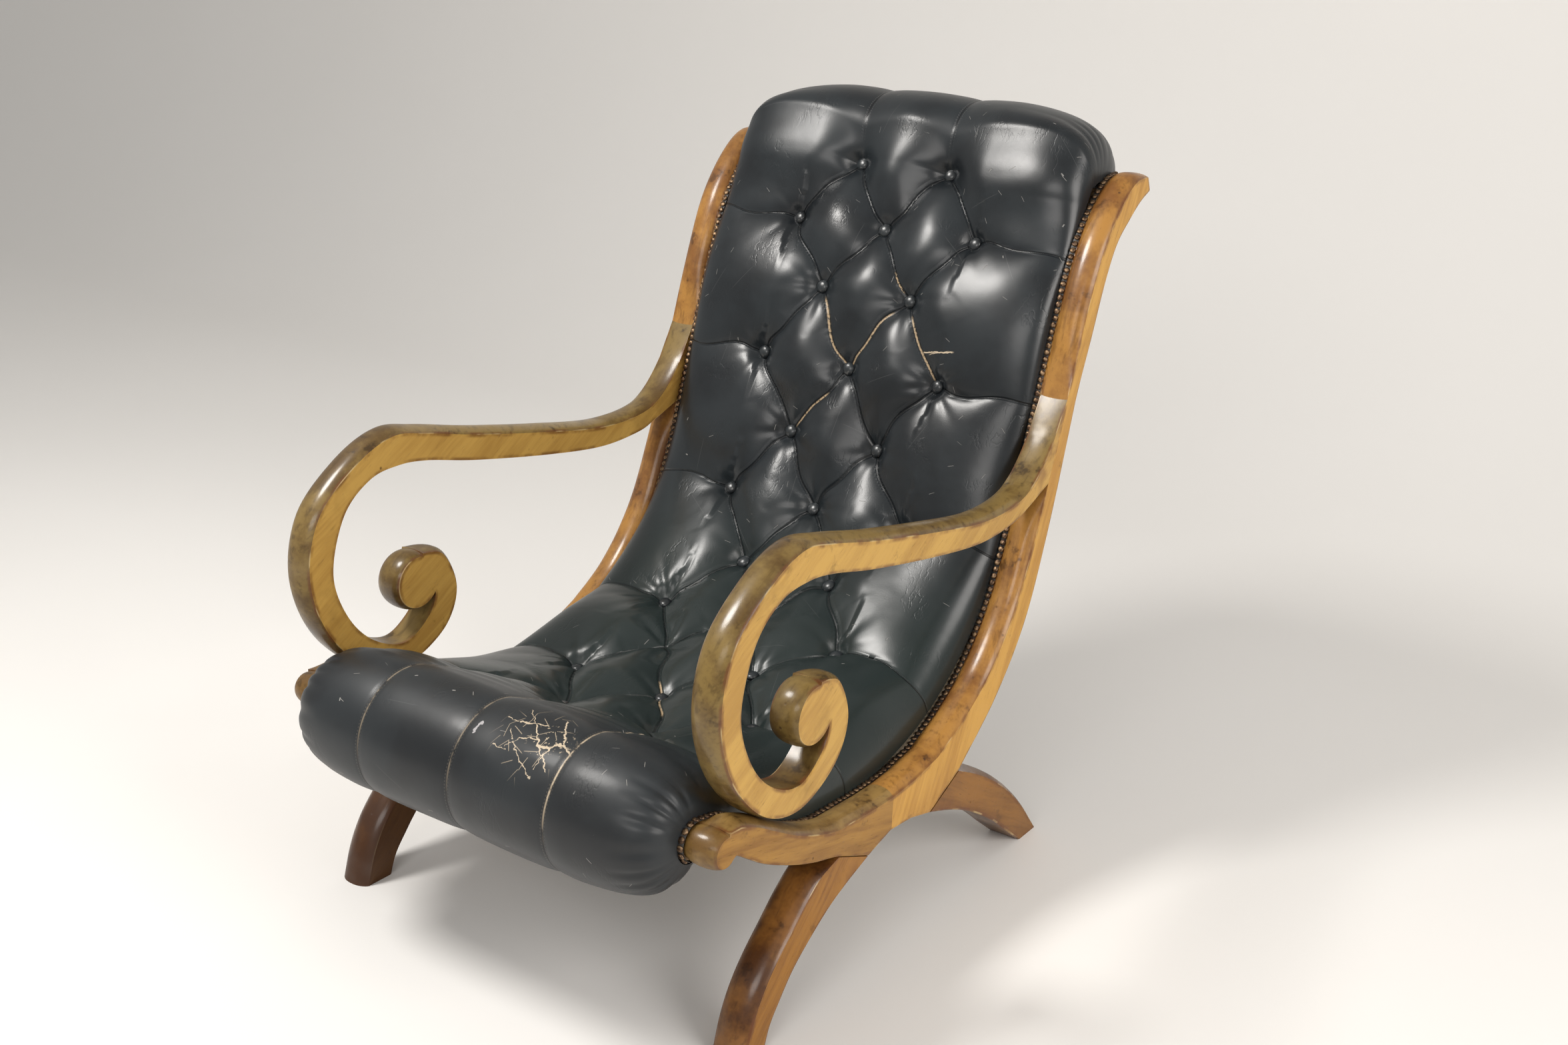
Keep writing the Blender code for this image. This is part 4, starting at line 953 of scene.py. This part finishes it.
dust, shader, place = new_finish("black_dust_cloth", sheen_weight=0.4)
weave = (place.part("X") * 5200).maths("SINE") * (place.part("Y") * 5200).maths("SINE")
lint = place.noise(18, 5, 0.7)
colour = lint.between(0.40, 0.75).blend((0.012, 0.012, 0.013), (0.055, 0.050, 0.045))
lay_on(shader, colour, 0.85 + lint * 0.1, weave * 0.5 + lint, 0.0005)
dust_cloth, cloth_length = strained_sheet("dust_cloth", DUST_CLOTH, 0.0010, -0.003, 300)
dust_cloth.data.materials.append(dust)
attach(dust_cloth, "root")
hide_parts("bottom_cloth")


# Studio: a pale seamless floor that turns up into a pale backdrop, lit by large soft lamps.
# The camera stands in front of the sitter's left knee at standing height, tipped down and slightly turned.
bend_start, bend_radius = 1.6, 1.2
bend = [on_circle((bend_start, bend_radius), bend_radius, degrees) for degrees in range(-90, 1, 6)]
sweep = [(-6, 0), *bend, (bend_start + bend_radius, 5)]
floor_corners = [(x, y, z) for y, z in sweep for x in (-7, 7)]
floor_faces = [(i, i + 1, i + 3, i + 2) for i in range(0, 2 * len(sweep) - 2, 2)]
floor = new_mesh("studio_floor", floor_corners, floor_faces, CRISP)
floor_paint, shader, place = new_finish("pale_floor")
colour = place.noise(1.2, 3).blend((0.84, 0.825, 0.80), (0.87, 0.855, 0.835))
lay_on(shader, colour, 0.7 + place.noise(3, 2) * 0.1, place.noise(40, 2), 0.0002)
floor.data.materials.append(floor_paint)

for name, place, aim, size, power, colour_of in (
    ("overhead_left", (-1.05, -1.20, 2.55), (0, 0, 0.5), (0.75, 0.75), 54, (1.0, 0.97, 0.93)),
    ("window_right", (3.2, -0.6, 2.0), (0, 0.1, 0.5), (1.8, 1.8), 58, (1.0, 0.96, 0.92)),
    ("front_fill", (1.0, -3.4, 2.3), (0, 0, 0.5), (2.0, 1.2), 32, (1.0, 0.97, 0.94)),
):
    lamp = new_object(name, bpy.data.lights.new(name, "AREA"))
    lamp.data.shape, lamp.data.size, lamp.data.size_y = "ELLIPSE", *size
    lamp.data.energy, lamp.data.color = power, colour_of
    lamp.location = place
    lamp.rotation_euler = (Vector(aim) - Vector(place)).to_track_quat("-Z", "Y").to_euler()
world = bpy.data.worlds.new("studio")
world.use_nodes = True
sky = world.node_tree.nodes["Background"].inputs
sky["Color"].default_value, sky["Strength"].default_value = (1.0, 0.98, 0.95, 1), 0.42
scene = bpy.context.scene
scene.world, scene.view_settings.view_transform = world, "Standard"

camera = new_object("camera", bpy.data.cameras.new("camera"))
camera.data.lens, camera.data.sensor_width = 40.24, 36
right, upward, ahead = (0.8164, 0.5763, 0.0368), (-0.2184, 0.2492, 0.9435), (-0.5345, 0.7783, -0.3293)
stand = (1.2874, -1.7594, 1.2291)
rows = [(r, u, -a, place) for r, u, a, place in zip(right, upward, ahead, stand)]
camera.matrix_world = Matrix(rows + [(0, 0, 0, 1)])
scene.camera = camera
